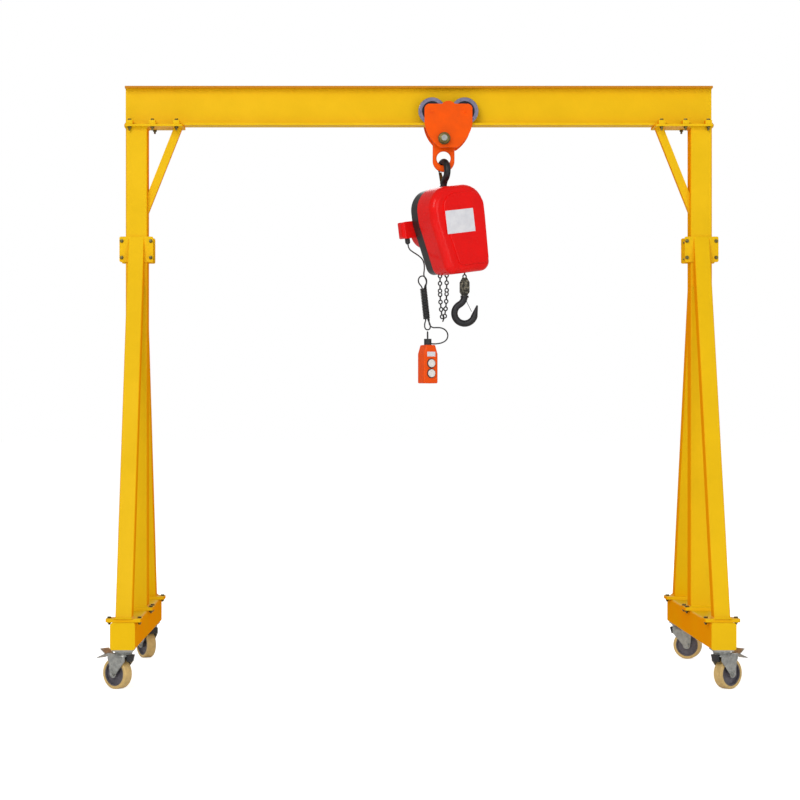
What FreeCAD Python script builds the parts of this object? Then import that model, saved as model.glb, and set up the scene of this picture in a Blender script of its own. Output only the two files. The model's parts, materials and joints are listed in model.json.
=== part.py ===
"""Portable A-frame gantry crane with a push trolley and an electric chain hoist.

Millimetres. +X runs along the girder, +Y from front to back, +Z up.
The origin lies on the floor under the middle of the girder.
"""
import FreeCAD, Part
import math
import os

Vector = FreeCAD.Vector

# ---- driving dimensions: the frame ----
girder_length = 3000.0
overall_height = 3000.0
base_length = 1500.0

girder_depth = 200.0
girder_width = 100.0
girder_flange = 11.0
girder_web = 7.0
girder_root = 9.0

column_size = 110.0
column_wall = 5.0
column_corner = 8.0
column_inset = 60.0        # from the girder's end to the column's centre

head_plate_length = 300.0
head_plate_width = 180.0
head_plate_thick = 10.0

leg_size = 80.0
leg_wall = 4.0
leg_corner = 6.0
leg_toe = 50.0             # from the base beam's end to the leg's outer face

collar_width = 172.0
collar_height = 130.0
collar_thick = 10.0
collar_top = 2230.0

brace_size = 40.0
brace_wall = 3.0
brace_reach = 154.0        # along the girder, from column face to brace centre line
brace_drop = 388.0         # down the column, from head plate to brace centre line

base_width = 120.0
base_depth = 130.0
base_wall = 5.0
base_corner = 12.0

pad_thick = 8.0
pad_width = 172.0
pad_corner = 14.0
leg_pad_length = 114.0
column_pad_length = 150.0

# ---- driving dimensions: the casters ----
caster_height = 195.0
wheel_diameter = 150.0
wheel_width = 50.0
hub_diameter = 120.0
hub_width = 46.0
axle_diameter = 16.0
caster_trail = 42.0
caster_plate_width = 104.0
caster_plate_length = 136.0
caster_plate_thick = 6.0
seal_diameter = 86.0
seal_thick = 12.0
fork_plate = 4.0
fork_gap = 5.0             # between a fork plate and the wheel
fork_top_diameter = 92.0
fork_boss = 20.0
pedal_reach = 150.0        # from the swivel axis to the lower tread's tip
pedal_tip_height = 145.0
pedal_fork = 32.0          # from the pedal's pin to where its two treads part
pedal_upper_back = 22.0    # the upper tip, back from the lower one
pedal_upper_rise = 45.0    # and above it
pedal_width = 58.0
pedal_thick = 4.0
# the way each wheel trails, in degrees from +X towards +Y
caster_heading = {"front_left": 143.0, "front_right": 37.0, "rear_left": 122.0, "rear_right": -20.0}

# ---- driving dimensions: the trolley ----
trolley_x = 150.0
trolley_wheel_spacing = 166.0
trolley_rim_diameter = 140.0
trolley_tread_diameter = 116.0
trolley_rim_thick = 8.0
trolley_side_play = 5.0    # between a rim and the edge of the girder's flange
trolley_pin_diameter = 20.0
side_plate_thick = 8.0
side_plate_width = 244.0
side_plate_rise = 36.0     # above the wheel axles
side_plate_drop = 186.0    # below the wheel axles
side_plate_corner = 26.0
side_plate_hump = 15.0
tie_bar_diameter = 30.0
tie_bar_drop = 142.0       # below the wheel axles
tie_bar_offset = -22.0     # along the girder, from the trolley's middle
tie_bar_end = 44.0         # beyond each side plate

eye_thick = 24.0
eye_radius = 56.0
eye_hole_radius = 36.0
eye_drop = 106.0           # from the tie bar to the outer circle's centre
eye_hole_lift = 13.0       # of the hole above that centre
eye_round = 9.0

# ---- driving dimensions: the hoist ----
hoist_yaw = 30.0
hoist_roll = -8.0
hoist_width = 324.0
hoist_offset = 18.0        # of the hoist's middle beside the hanging line
hoist_height = 448.0
hoist_shoulder = 115.0
hoist_corner = 50.0
hoist_waist = 170.0        # below the crown, where the sides start to draw in
hoist_waist_round = 150.0
hoist_draw_left = 60.0
hoist_draw_right = 8.0
cover_depth = 148.0
cover_front = 96.0         # ahead of the hanging line
cover_round = 38.0
panel_inset = 40.0
panel_offset = 22.0
panel_rise = 8.0
middle_depth = 70.0
middle_inset = 6.0
motor_radius = 86.0
motor_length = 124.0
motor_drop = 218.0
terminal_width = 96.0
terminal_depth = 58.0
terminal_height = 86.0
terminal_reach = 196.0     # from the hanging line to the box's outer face
terminal_drop = 196.0
gland_diameter = 26.0
gland_length = 30.0
gland_inset = 38.0         # from the box's outer face
terminal_round = 18.0

top_hook_bowl = 30.0
top_hook_bar = 17.0
top_hook_gap = 1.5
top_hook_yaw = 22.0
hoist_balance = 51.0       # the hanging line behind the cover's middle, so that the hoist hangs level

load_x = 45.0
load_y = -28.0
slack_x = -50.0
slack_y = 26.0
chain_width = 24.0
chain_spread = 34.0
chain_fall = 236.0
block_width = 50.0
block_neck = 24.0          # across the top of the chain block
block_foot = 28.0          # and across its bottom
block_shoulder = 24.0      # the height over which it widens
block_heel = 18.0          # and over which it narrows again
block_depth = 34.0
block_height = 92.0
block_gap = 25.0
load_hook_bowl = 35.0
load_hook_bar = 17.0
load_pin_diameter = 16.0
load_pin_length = 40.0

# ---- driving dimensions: the control pendant ----
cable_diameter = 7.0
hank_diameter = 36.0
pendant_width = 82.0
pendant_depth = 66.0
pendant_height = 195.0
button_diameter = 40.0

running_gap = 0.05         # radial, between a pin and its bore
seat_gap = 0.3             # between faces that slide past each other

# ---- worked out from the driving dimensions ----
column_x = girder_length / 2 - column_inset
girder_bottom = overall_height - girder_depth
column_top = girder_bottom - head_plate_thick
base_top = caster_height + base_depth
leg_foot = base_top + 2 * pad_thick
leg_front = base_length / 2 - leg_toe
column_face = column_size / 2
leg_head = column_face + collar_thick
leg_lean = (leg_front - leg_head) / (collar_top - leg_foot)
leg_level_depth = leg_size * math.sqrt(1 + leg_lean ** 2)
leg_rear_top = collar_top - leg_level_depth / leg_lean
leg_centre = leg_front - leg_level_depth / 2
caster_y = base_length / 2 - caster_plate_length / 2


def save(name, shape):
    """Write one named piece as a STEP file."""
    shape.exportStep(os.path.join("parts", name + ".step"))


def block(x0, x1, y0, y1, z0, z1):
    """A box between two corners."""
    return Part.makeBox(x1 - x0, y1 - y0, z1 - z0, Vector(x0, y0, z0))


def plate(width, length, thick, centre, corner):
    """A level plate with round corners, resting at the centre's height."""
    shape = Part.makeBox(width, length, thick, centre - Vector(width / 2, length / 2, 0))
    upright = [edge for edge in shape.Edges if abs(edge.tangentAt(edge.FirstParameter).z) > 0.9]
    return shape.makeFillet(corner, upright)


def round_along(shape, direction, radius):
    """Round every straight edge that runs along one direction."""
    unit = Vector(direction).normalize()
    chosen = []
    for edge in shape.Edges:
        if abs(edge.tangentAt(edge.FirstParameter).dot(unit)) > 0.999:
            chosen.append(edge)
    return shape.makeFillet(radius, chosen)


def prism(points, travel):
    """Extrude a closed outline of straight sides."""
    face = Part.Face(Part.makePolygon(list(points) + [points[0]]))
    return face.extrude(travel)


def side_outline(points, x_from, x_to):
    """Extrude an outline given as (y, z) from one x to another."""
    corners = [Vector(x_from, y, z) for y, z in points]
    return prism(corners, Vector(x_to - x_from, 0, 0))


def front_outline(points, y_from, y_to):
    """Extrude an outline given as (x, z) from one y to another."""
    corners = [Vector(x, y_from, z) for x, z in points]
    return prism(corners, Vector(0, y_to - y_from, 0))


def rod(radius, length, start, direction):
    """A round bar."""
    return Part.makeCylinder(radius, length, start, direction)


def hexagon(across_flats, length, start, direction):
    """A hexagonal nut or bolt head along an axis that is Y or Z."""
    radius = across_flats / math.sqrt(3)
    corners = []
    for i in range(6):
        angle = math.radians(60 * i)
        if abs(direction.z) > 0.5:
            corners.append(start + Vector(radius * math.cos(angle), radius * math.sin(angle), 0))
        else:
            corners.append(start + Vector(radius * math.cos(angle), 0, radius * math.sin(angle)))
    return prism(corners, direction * length)


def mirror_x(shape):
    """The same piece on the other end of the girder."""
    return shape.mirror(Vector(0, 0, 0), Vector(1, 0, 0))


def mirror_y(shape):
    """The same piece on the other side of the girder."""
    return shape.mirror(Vector(0, 0, 0), Vector(0, 1, 0))


# ---- the frame ----
def make_girder():
    """An I-section beam with rounded roots."""
    half = girder_width / 2
    web = girder_web / 2
    top = overall_height
    inner_top = top - girder_flange
    inner_bottom = girder_bottom + girder_flange
    outline = [
        (-half, girder_bottom), (half, girder_bottom), (half, inner_bottom), (web, inner_bottom),
        (web, inner_top), (half, inner_top), (half, top), (-half, top),
        (-half, inner_top), (-web, inner_top), (-web, inner_bottom), (-half, inner_bottom),
    ]
    beam = side_outline(outline, -girder_length / 2, girder_length / 2)
    roots = []
    for edge in beam.Edges:
        middle = edge.CenterOfMass
        if abs(middle.x) < 1 and abs(abs(middle.y) - web) < 0.1:
            roots.append(edge)
    return beam.makeFillet(girder_root, roots)


def make_head_plate():
    """The plate on top of a column that the girder sits on."""
    end = girder_length / 2
    shape = block(-end, head_plate_length - end, -head_plate_width / 2, head_plate_width / 2,
                  column_top, girder_bottom)
    return round_along(shape, (0, 0, 1), pad_corner)


def make_column():
    """A square tube with its foot flange."""
    foot = base_top + pad_thick
    centre = Vector(-column_x, 0, foot)
    outer = block(-column_x - column_face, -column_x + column_face, -column_face, column_face,
                  foot, column_top)
    outer = round_along(outer, (0, 0, 1), column_corner)
    hollow = column_face - column_wall
    inner = block(-column_x - hollow, -column_x + hollow, -hollow, hollow, leg_foot, column_top)
    flange = plate(pad_width, column_pad_length, pad_thick, centre, pad_corner)
    return outer.fuse(flange).removeSplitter().cut(inner)


def make_front_leg():
    """An inclined tube with its foot flange and the clamp plate at its head."""
    wall_y = leg_wall * leg_level_depth / leg_size
    wall_z = wall_y / leg_lean
    half = leg_size / 2
    outer = side_outline([
        (-leg_front, leg_foot), (-leg_front + leg_level_depth, leg_foot),
        (-leg_head, leg_rear_top), (-leg_head, collar_top),
    ], -column_x - half, -column_x + half)
    outer = round_along(outer, (0, leg_lean, 1), leg_corner)
    inner = side_outline([
        (-leg_front + wall_y, leg_foot), (-leg_front + leg_level_depth - wall_y, leg_foot),
        (-leg_head, leg_rear_top + wall_z), (-leg_head, collar_top - wall_z),
    ], -column_x - half + leg_wall, -column_x + half - leg_wall)
    tube = outer.cut(inner)
    foot = plate(pad_width, leg_pad_length, pad_thick,
                 Vector(-column_x, -leg_centre, leg_foot - pad_thick), pad_corner)
    ears = block(-column_x - collar_width / 2, -column_x + collar_width / 2,
                 -leg_head, -column_face, collar_top - collar_height, collar_top)
    ears = round_along(ears, (0, 1, 0), pad_thick)
    strip = block(-column_x - half, -column_x + half, -leg_head, -column_face,
                  leg_rear_top, collar_top - collar_height / 2)
    return tube.fuse([foot, ears, strip])


def make_knee_brace():
    """A small square tube between the column and the girder's head plate."""
    lean = brace_reach / brace_drop
    half_x = brace_size / 2 * math.sqrt(1 + lean ** 2)
    inner_x = half_x * (brace_size - 2 * brace_wall) / brace_size
    face_x = -column_x + column_face
    top_x = face_x + brace_reach

    def outline(reach):
        corners = [(top_x - reach, column_top), (top_x + reach, column_top)]
        corners.append((face_x, column_top - brace_drop - reach / lean))
        corners.append((face_x, column_top - brace_drop + reach / lean))
        return corners

    half = brace_size / 2
    outer = front_outline(outline(half_x), -half, half)
    hollow = half - brace_wall
    inner = front_outline(outline(inner_x), -hollow, hollow)
    return outer.cut(inner)


def make_base_beam():
    """A closed rectangular tube with the pads that the legs and column stand on."""
    half = base_width / 2
    end = base_length / 2
    outer = block(-column_x - half, -column_x + half, -end, end, caster_height, base_top)
    outer = round_along(outer, (0, 1, 0), base_corner)
    inner = block(-column_x - half + base_wall, -column_x + half - base_wall,
                  -end + base_wall, end - base_wall, caster_height + base_wall, base_top - base_wall)
    inner = round_along(inner, (0, 1, 0), base_corner - base_wall)
    beam = outer.cut(inner)
    pads = [plate(pad_width, column_pad_length, pad_thick, Vector(-column_x, 0, base_top), pad_corner)]
    for side in (-1, 1):
        seat = Vector(-column_x, side * leg_centre, base_top)
        pads.append(plate(pad_width, leg_pad_length, pad_thick, seat, pad_corner))
    return beam.fuse(pads)


# ---- the casters ----
pedal_hinge_x = 64.0
pedal_hinge_z = 163.0
pedal_pin = 5.0
pedal_eye = 8.0
fork_shoulder = 165.0
fork_drop = 34.0
kingpin_radius = 10.0
wheel_round = 6.0


def make_caster_plate():
    """The fixed top plate with its seal ring and kingpin, around the swivel axis."""
    top = plate(caster_plate_width, caster_plate_length, caster_plate_thick,
                Vector(0, 0, caster_height - caster_plate_thick), pad_corner)
    ring_base = caster_height - caster_plate_thick - seal_thick
    ring = rod(seal_diameter / 2, seal_thick, Vector(0, 0, ring_base), Vector(0, 0, 1))
    pin_base = fork_shoulder - fork_plate - seat_gap
    pin = rod(kingpin_radius, ring_base - pin_base, Vector(0, 0, pin_base), Vector(0, 0, 1))
    head_thick = 5.0
    head = rod(kingpin_radius + 6, head_thick, Vector(0, 0, pin_base - head_thick), Vector(0, 0, 1))
    return top.fuse([ring, pin, head])


def make_fork():
    """The swivelling fork with its axle; the wheel trails along +X."""
    axle_z = wheel_diameter / 2
    inner = wheel_width / 2 + fork_gap
    outer = inner + fork_plate
    ring_base = caster_height - caster_plate_thick - seal_thick
    crown_height = ring_base - seat_gap - fork_shoulder + fork_plate
    crown = Part.makeCone(fork_top_diameter / 2, fork_top_diameter / 2 - 8, crown_height,
                          Vector(0, 0, fork_shoulder - fork_plate), Vector(0, 0, 1))
    bridge = block(-fork_drop, 48, -outer, outer, fork_shoulder - fork_plate, fork_shoulder)
    cheeks = []
    boss_low = axle_z - fork_boss * 0.82
    for side in (-1, 1):
        y_from = inner if side > 0 else -outer
        outline = [
            (-fork_drop, fork_shoulder), (76, fork_shoulder + 8), (76, fork_shoulder - 18),
            (caster_trail + fork_boss + 6, 128), (caster_trail + fork_boss, axle_z),
            (caster_trail + 11, boss_low), (caster_trail - 11, boss_low),
            (caster_trail - fork_boss + 2, axle_z - 2), (-fork_drop, fork_shoulder - 26),
        ]
        cheek = front_outline(outline, y_from, y_from + fork_plate)
        boss = rod(fork_boss, fork_plate, Vector(caster_trail, y_from, axle_z), Vector(0, 1, 0))
        cheeks.append(cheek.fuse(boss))
    axle = rod(axle_diameter / 2, 2 * outer, Vector(caster_trail, -outer, axle_z), Vector(0, 1, 0))
    nut_thick = 8.0
    nuts = [
        hexagon(24, nut_thick, Vector(caster_trail, outer, axle_z), Vector(0, 1, 0)),
        hexagon(24, nut_thick, Vector(caster_trail, -outer, axle_z), Vector(0, -1, 0)),
    ]
    hinge = rod(pedal_pin, 2 * outer, Vector(pedal_hinge_x, -outer, pedal_hinge_z), Vector(0, 1, 0))
    fork = crown.fuse([bridge, axle, hinge] + cheeks + nuts)
    bore_length = crown_height + 10
    bore = rod(kingpin_radius + running_gap, bore_length,
               Vector(0, 0, fork_shoulder - fork_plate - 5), Vector(0, 0, 1))
    return fork.cut(bore)


def wheel_disc(radius, width, bore, edge):
    """A disc about the axle with a bore and rounded rims."""
    axle_z = wheel_diameter / 2
    start = Vector(caster_trail, -width / 2, axle_z)
    disc = rod(radius, width, start, Vector(0, 1, 0))
    rims = [e for e in disc.Edges if len(e.Vertexes) == 1]
    disc = disc.makeFillet(edge, rims)
    return disc.cut(rod(bore, width, start, Vector(0, 1, 0)))


def make_hub():
    """The wheel's hub: a rim, a thin web on each face and a boss at the axle."""
    axle_z = wheel_diameter / 2
    hub = wheel_disc(hub_diameter / 2, hub_width, axle_diameter / 2 + running_gap, 1.5)
    recess_depth = 11.0
    for side in (-1, 1):
        y_from = side * hub_width / 2 - (recess_depth if side > 0 else 0)
        start = Vector(caster_trail, y_from, axle_z)
        ring = rod(hub_diameter / 2 - 6, recess_depth, start, Vector(0, 1, 0))
        ring = ring.cut(rod(17, recess_depth, start, Vector(0, 1, 0)))
        hub = hub.cut(ring)
    return hub


def make_pedal():
    """The brake pedal: two treads on a bracket that turns on the fork's cross pin."""
    half = pedal_width / 2
    eye = rod(pedal_eye, pedal_width, Vector(pedal_hinge_x, -half, pedal_hinge_z), Vector(0, 1, 0))
    root = (pedal_hinge_x + pedal_fork, pedal_hinge_z + 4)
    upper_tip = (pedal_reach - pedal_upper_back, pedal_tip_height + pedal_upper_rise)
    thick = pedal_thick

    def tread(x0, z0, x1, z1, width):
        lean = math.hypot(x1 - x0, z1 - z0)
        nx = -(z1 - z0) / lean * thick / 2
        nz = (x1 - x0) / lean * thick / 2
        outline = [(x0 - nx, z0 - nz), (x1 - nx, z1 - nz), (x1 + nx, z1 + nz), (x0 + nx, z0 + nz)]
        return front_outline(outline, -width / 2, width / 2)

    arm = tread(pedal_hinge_x, pedal_hinge_z, root[0] + 2, root[1], pedal_width - 16)
    upper = tread(root[0], root[1], upper_tip[0], upper_tip[1], pedal_width)
    lower = tread(root[0], root[1], pedal_reach, pedal_tip_height, pedal_width)
    bore = rod(pedal_pin + running_gap, pedal_width, Vector(pedal_hinge_x, -half, pedal_hinge_z),
               Vector(0, 1, 0))
    return eye.fuse([arm, upper, lower]).cut(bore)


def place_caster(shape, end, side, heading):
    """Turn a caster piece to its heading and set it under a base beam's end."""
    placed = shape.copy()
    placed.rotate(Vector(0, 0, 0), Vector(0, 0, 1), heading)
    placed.translate(Vector(side * column_x, end * caster_y, 0))
    return placed


# ---- the trolley ----
axle_height = girder_bottom + girder_flange + trolley_tread_diameter / 2 + seat_gap
rim_inner = girder_width / 2 + trolley_side_play
rim_outer = rim_inner + trolley_rim_thick
plate_inner = rim_outer + trolley_side_play
plate_outer = plate_inner + side_plate_thick
tie_x = trolley_x + tie_bar_offset
tie_z = axle_height - tie_bar_drop
wheel_face_gap = 18.0      # from the web to the wheel's inner face


def make_trolley_wheel(x, side):
    """A flanged wheel whose tread rolls on the girder's lower flange."""
    axis = Vector(0, side, 0)
    tread_from = wheel_face_gap + girder_web / 2
    tread = rod(trolley_tread_diameter / 2, rim_inner - tread_from,
                Vector(x, side * tread_from, axle_height), axis)
    rim = rod(trolley_rim_diameter / 2, trolley_rim_thick, Vector(x, side * rim_inner, axle_height), axis)
    circles = [e for e in rim.Edges if len(e.Vertexes) == 1]
    rim = rim.makeFillet(2.0, circles)
    wheel = tread.fuse(rim)
    recess = 5.0
    face = Vector(x, side * (rim_outer - recess), axle_height)
    pocket = rod(50, recess, face, axis).cut(rod(19, recess, face, axis))
    wheel = wheel.cut(pocket)
    bore = rod(trolley_pin_diameter / 2 + running_gap, rim_outer, Vector(x, 0, axle_height), axis)
    return wheel.cut(bore)


def make_side_plate(side):
    """A shield-shaped side plate with the wheel pins fixed in it."""
    half = side_plate_width / 2
    top = axle_height + side_plate_rise
    bottom = axle_height - side_plate_drop
    waist = girder_bottom + 6
    foot = 44.0
    y = side * plate_inner
    ear_half = 32.0
    ear_top = top + side_plate_hump

    def point(dx, z):
        return Vector(trolley_x + dx, y, z)

    corner = side_plate_corner
    bevel = corner * (1 - math.sqrt(0.5))
    edges = [
        Part.makeLine(point(-half + corner, top), point(-ear_half, top)),
        Part.Arc(point(-ear_half, top), point(0, ear_top), point(ear_half, top)).toShape(),
        Part.makeLine(point(ear_half, top), point(half - corner, top)),
        Part.Arc(point(half - corner, top), point(half - bevel, top - bevel),
                 point(half, top - corner)).toShape(),
        Part.makeLine(point(half, top - corner), point(half, waist)),
        Part.Arc(point(half, waist), point(half * 0.8, (waist + bottom) / 2 - 6),
                 point(foot, bottom)).toShape(),
        Part.makeLine(point(foot, bottom), point(-foot, bottom)),
        Part.Arc(point(-foot, bottom), point(-half * 0.8, (waist + bottom) / 2 - 6),
                 point(-half, waist)).toShape(),
        Part.makeLine(point(-half, waist), point(-half, top - corner)),
        Part.Arc(point(-half, top - corner), point(-half + bevel, top - bevel),
                 point(-half + corner, top)).toShape(),
    ]
    shape = Part.Face(Part.Wire(edges)).extrude(Vector(0, side * side_plate_thick, 0))
    axis = Vector(0, side, 0)
    head_thick = 4.0
    pin_from = wheel_face_gap + girder_web / 2 + 4
    extras = []
    for dx in (-trolley_wheel_spacing / 2, trolley_wheel_spacing / 2):
        start = Vector(trolley_x + dx, side * pin_from, axle_height)
        extras.append(rod(trolley_pin_diameter / 2, plate_outer - pin_from + head_thick, start, axis))
        collar_start = Vector(trolley_x + dx, side * (rim_outer + seat_gap), axle_height)
        extras.append(rod(trolley_pin_diameter / 2 + 5, plate_inner - rim_outer - seat_gap,
                          collar_start, axis))
    shape = shape.fuse(extras)
    hole = rod(tie_bar_diameter / 2 + running_gap, plate_outer + head_thick, Vector(tie_x, 0, tie_z), axis)
    return shape.cut(hole)


def make_tie_bar():
    """The bar that ties the side plates, with spacer washers and a nut at each end."""
    reach = plate_outer + tie_bar_end
    bar = rod(tie_bar_diameter / 2, 2 * reach, Vector(tie_x, -reach, tie_z), Vector(0, 1, 0))
    washer_stack = 14.0
    nut_thick = 20.0
    pieces = []
    for side in (-1, 1):
        axis = Vector(0, side, 0)
        start = Vector(tie_x, side * plate_outer, tie_z)
        pieces.append(rod(25, washer_stack, start, axis))
        nut_start = start + Vector(0, side * washer_stack, 0)
        pieces.append(hexagon(44, nut_thick, nut_start, axis))
        inner_start = Vector(tie_x, side * (eye_thick / 2 + running_gap), tie_z)
        sleeve_length = plate_inner - eye_thick / 2 - running_gap
        pieces.append(rod(22, sleeve_length, inner_start, axis))
    return bar.fuse(pieces)


eye_z = tie_z - eye_drop
eye_hole_z = eye_z + eye_hole_lift


def make_eye():
    """The forged lifting eye that hangs on the tie bar between the side plates."""
    top = tie_z + 30
    shoulder = tie_z - 6
    half = eye_thick / 2
    slope = (eye_radius - 30) / 2

    def point(dx, z):
        return Vector(tie_x + dx, -half, z)

    edges = [
        Part.Arc(point(-eye_radius, eye_z), point(0, eye_z - eye_radius), point(eye_radius, eye_z)).toShape(),
        Part.makeLine(point(eye_radius, eye_z), point(eye_radius, shoulder)),
        Part.Arc(point(eye_radius, shoulder), point(eye_radius - slope / 2, top - 10),
                 point(eye_radius - slope * 2, top)).toShape(),
        Part.makeLine(point(eye_radius - slope * 2, top), point(slope * 2 - eye_radius, top)),
        Part.Arc(point(slope * 2 - eye_radius, top), point(slope / 2 - eye_radius, top - 10),
                 point(-eye_radius, shoulder)).toShape(),
        Part.makeLine(point(-eye_radius, shoulder), point(-eye_radius, eye_z)),
    ]
    shape = Part.Face(Part.Wire(edges)).extrude(Vector(0, eye_thick, 0))
    rims = [edge for edge in shape.Edges if abs(abs(edge.CenterOfMass.y) - half) < 0.1]
    shape = shape.makeFillet(eye_round, rims)
    hole = rod(eye_hole_radius, eye_thick, Vector(tie_x, -half, eye_hole_z), Vector(0, 1, 0))
    shape = shape.cut(hole)
    mouth = [edge for edge in shape.Edges
             if abs(edge.Length - 2 * math.pi * eye_hole_radius) < 0.5]
    shape = shape.makeFillet(eye_round, mouth)
    bore = rod(tie_bar_diameter / 2 + running_gap, eye_thick, Vector(tie_x, -half, tie_z), Vector(0, 1, 0))
    return shape.cut(bore)


# ---- the hoist, in its own frame: hanging line at x = y = 0, crown at z = 0 ----
bar_z = (eye_z - eye_radius + eye_hole_z - eye_hole_radius) / 2
bar_half = (eye_hole_z - eye_hole_radius - eye_z + eye_radius) / 2
hook_centre_z = bar_z + bar_half + top_hook_gap - top_hook_bowl
hook_neck = 84.5           # from the bowl's centre down to the hoist's crown
hoist_crown_z = hook_centre_z - hook_neck


def place_hoist(shape):
    """Turn a piece from the hoist's own frame to where it hangs."""
    placed = shape.copy()
    placed.rotate(Vector(0, 0, 0), Vector(0, 1, 0), hoist_roll)
    placed.rotate(Vector(0, 0, 0), Vector(0, 0, 1), hoist_yaw)
    placed.translate(Vector(tie_x, -hoist_balance, hoist_crown_z))
    return placed


def hoist_point(x, y, z):
    """A point of the hoist's own frame in the crane's frame."""
    spin = FreeCAD.Rotation(Vector(0, 0, 1), hoist_yaw) * FreeCAD.Rotation(Vector(0, 1, 0), hoist_roll)
    return spin.multVec(Vector(x, y, z)) + Vector(tie_x, -hoist_balance, hoist_crown_z)


def hang_point(x, y, z):
    """A point beside or below the hoist, measured from its crown without its turn."""
    return Vector(tie_x + x, y - hoist_balance, hoist_crown_z + z)


def arch_slab(inset, offset, y_from, y_to):
    """A slab in the hoist's outline: flat crown, deep shoulders, and sides that draw in below the waist."""
    left = inset - hoist_width / 2 + hoist_offset + offset
    right = hoist_width / 2 - inset + hoist_offset + offset
    bottom = inset - hoist_height
    outline = [
        (left, -inset), (right, -inset), (right, -hoist_waist), (right - hoist_draw_right, bottom),
        (left + hoist_draw_left, bottom), (left, -hoist_waist),
    ]
    shape = front_outline(outline, y_from, y_to)
    rounds = (
        (-inset, hoist_shoulder - inset), (-hoist_waist, hoist_waist_round), (bottom, hoist_corner - inset / 2),
    )
    for height, radius in rounds:
        corners = [edge for edge in shape.Edges
                   if edge.BoundBox.YLength > y_to - y_from - 1 and abs(edge.CenterOfMass.z - height) < 1]
        shape = shape.makeFillet(radius, corners)
    return shape


def round_front(shape, y, radius):
    """Round the rim of the face that lies at one y."""
    rim = [edge for edge in shape.Edges if edge.BoundBox.YMin > y - 0.1 and edge.BoundBox.YMax < y + 0.1]
    return shape.makeFillet(radius, rim)


def make_front_cover():
    """The red gear cover with its raised front panel."""
    front = -cover_front
    body = arch_slab(0, 0, front, front + cover_depth)
    body = round_front(body, front, cover_round)
    panel_front = front - panel_rise
    panel = arch_slab(panel_inset, panel_offset, panel_front, front + cover_round)
    panel = round_front(panel, panel_front, panel_rise * 0.7)
    return body.fuse(panel)


def make_middle_body():
    """The black band between the covers."""
    front = cover_depth - cover_front
    return arch_slab(middle_inset, 0, front, front + middle_depth)


motor_from = cover_depth - cover_front + middle_depth


def make_motor_housing():
    """The round motor housing at the back."""
    drum = rod(motor_radius, motor_length, Vector(0, motor_from, -motor_drop), Vector(0, 1, 0))
    rear = [e for e in drum.Edges if e.BoundBox.YMin > motor_from + motor_length - 0.1]
    return drum.makeFillet(14, rear)


def make_terminal_box():
    """The box beside the motor housing that the control cable comes out of."""
    x0 = -terminal_reach
    y0 = motor_from + 6
    z1 = -terminal_drop + terminal_height / 2
    shape = block(x0, x0 + terminal_width + 60, y0, y0 + terminal_depth, z1 - terminal_height, z1)
    outer = [e for e in shape.Edges if e.BoundBox.XMax < x0 + 0.1]
    shape = shape.makeFillet(terminal_round, outer)
    drum = rod(motor_radius, motor_length, Vector(0, motor_from, -motor_drop), Vector(0, 1, 0))
    return shape.cut(drum)


gland_x = gland_inset - terminal_reach
gland_y = motor_from + 6 + terminal_depth / 2
gland_top = -terminal_drop - terminal_height / 2


def make_gland():
    """The screwed gland under the terminal box."""
    start = Vector(gland_x, gland_y, gland_top - gland_length)
    body = rod(gland_diameter / 2, gland_length - 8, start + Vector(0, 0, 8), Vector(0, 0, 1))
    nose = Part.makeCone(gland_diameter / 2 - 6, gland_diameter / 2, 8, start, Vector(0, 0, 1))
    return body.fuse(nose)


def bent_hook(mean, bar, tip_turn, tip_length, tip_radius):
    """A round-bar hook in the XZ plane: bowl round the origin, shank up +Z, mouth towards +X.

    The shank swings out through a sixth of a turn and comes back round the bowl.
    """
    rise = math.sqrt(3) * mean
    shank_end = Part.Face(Part.Wire(Part.makeCircle(bar, Vector(0, 0, rise), Vector(0, 0, 1))))
    swing = shank_end.revolve(Vector(-mean, 0, rise), Vector(0, 1, 0), 60)
    start = Vector(-mean / 2, 0, rise / 2)
    across = Vector(math.sqrt(3) / 2, 0, 0.5)
    bowl_start = Part.Face(Part.Wire(Part.makeCircle(bar, start, across)))
    bowl = bowl_start.revolve(Vector(0, 0, 0), Vector(0, -1, 0), tip_turn)
    angle = math.radians(120 + tip_turn)
    end = Vector(mean * math.cos(angle), 0, mean * math.sin(angle))
    onward = Vector(-math.sin(angle), 0, math.cos(angle))
    tip = Part.makeCone(bar, tip_radius, tip_length, end, onward)
    point = Part.makeSphere(tip_radius, end + onward * tip_length)
    return swing.fuse([bowl, tip, point])


def make_top_hook():
    """The hook that carries the hoist on the trolley's eye, with its neck in the crown."""
    mean = top_hook_bowl + top_hook_bar
    hook = bent_hook(mean, top_hook_bar, 205, 26, 6)
    hook.rotate(Vector(0, 0, 0), Vector(1, 0, 0), 180)
    hook.rotate(Vector(0, 0, 0), Vector(0, 0, 1), 90)
    hook.translate(Vector(0, 0, hook_neck))
    shank_top = hook_neck - math.sqrt(3) * mean
    shank = rod(top_hook_bar, shank_top + 20, Vector(0, 0, -20), Vector(0, 0, 1))
    collar = rod(22, 14, Vector(0, 0, -8), Vector(0, 0, 1))
    hook = hook.fuse([shank, collar])
    hook.rotate(Vector(0, 0, 0), Vector(0, 0, 1), top_hook_yaw)
    hook.translate(Vector(tie_x, 0, hoist_crown_z))
    return hook


def make_load_hook(top):
    """The load hook under the chain block, with the collar that it turns on."""
    mean = load_hook_bowl + load_hook_bar
    hook = bent_hook(mean, load_hook_bar, 225, 52, 5)
    rise = math.sqrt(3) * mean
    collar_height = 10.0
    collar = rod(load_hook_bar + 4, collar_height, Vector(0, 0, rise - collar_height), Vector(0, 0, 1))
    pin = rod(load_pin_diameter / 2, load_pin_length, Vector(0, 0, rise), Vector(0, 0, 1))
    hook = hook.fuse([collar, pin])
    hook.translate(top - Vector(0, 0, rise + seat_gap))
    return hook


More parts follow.
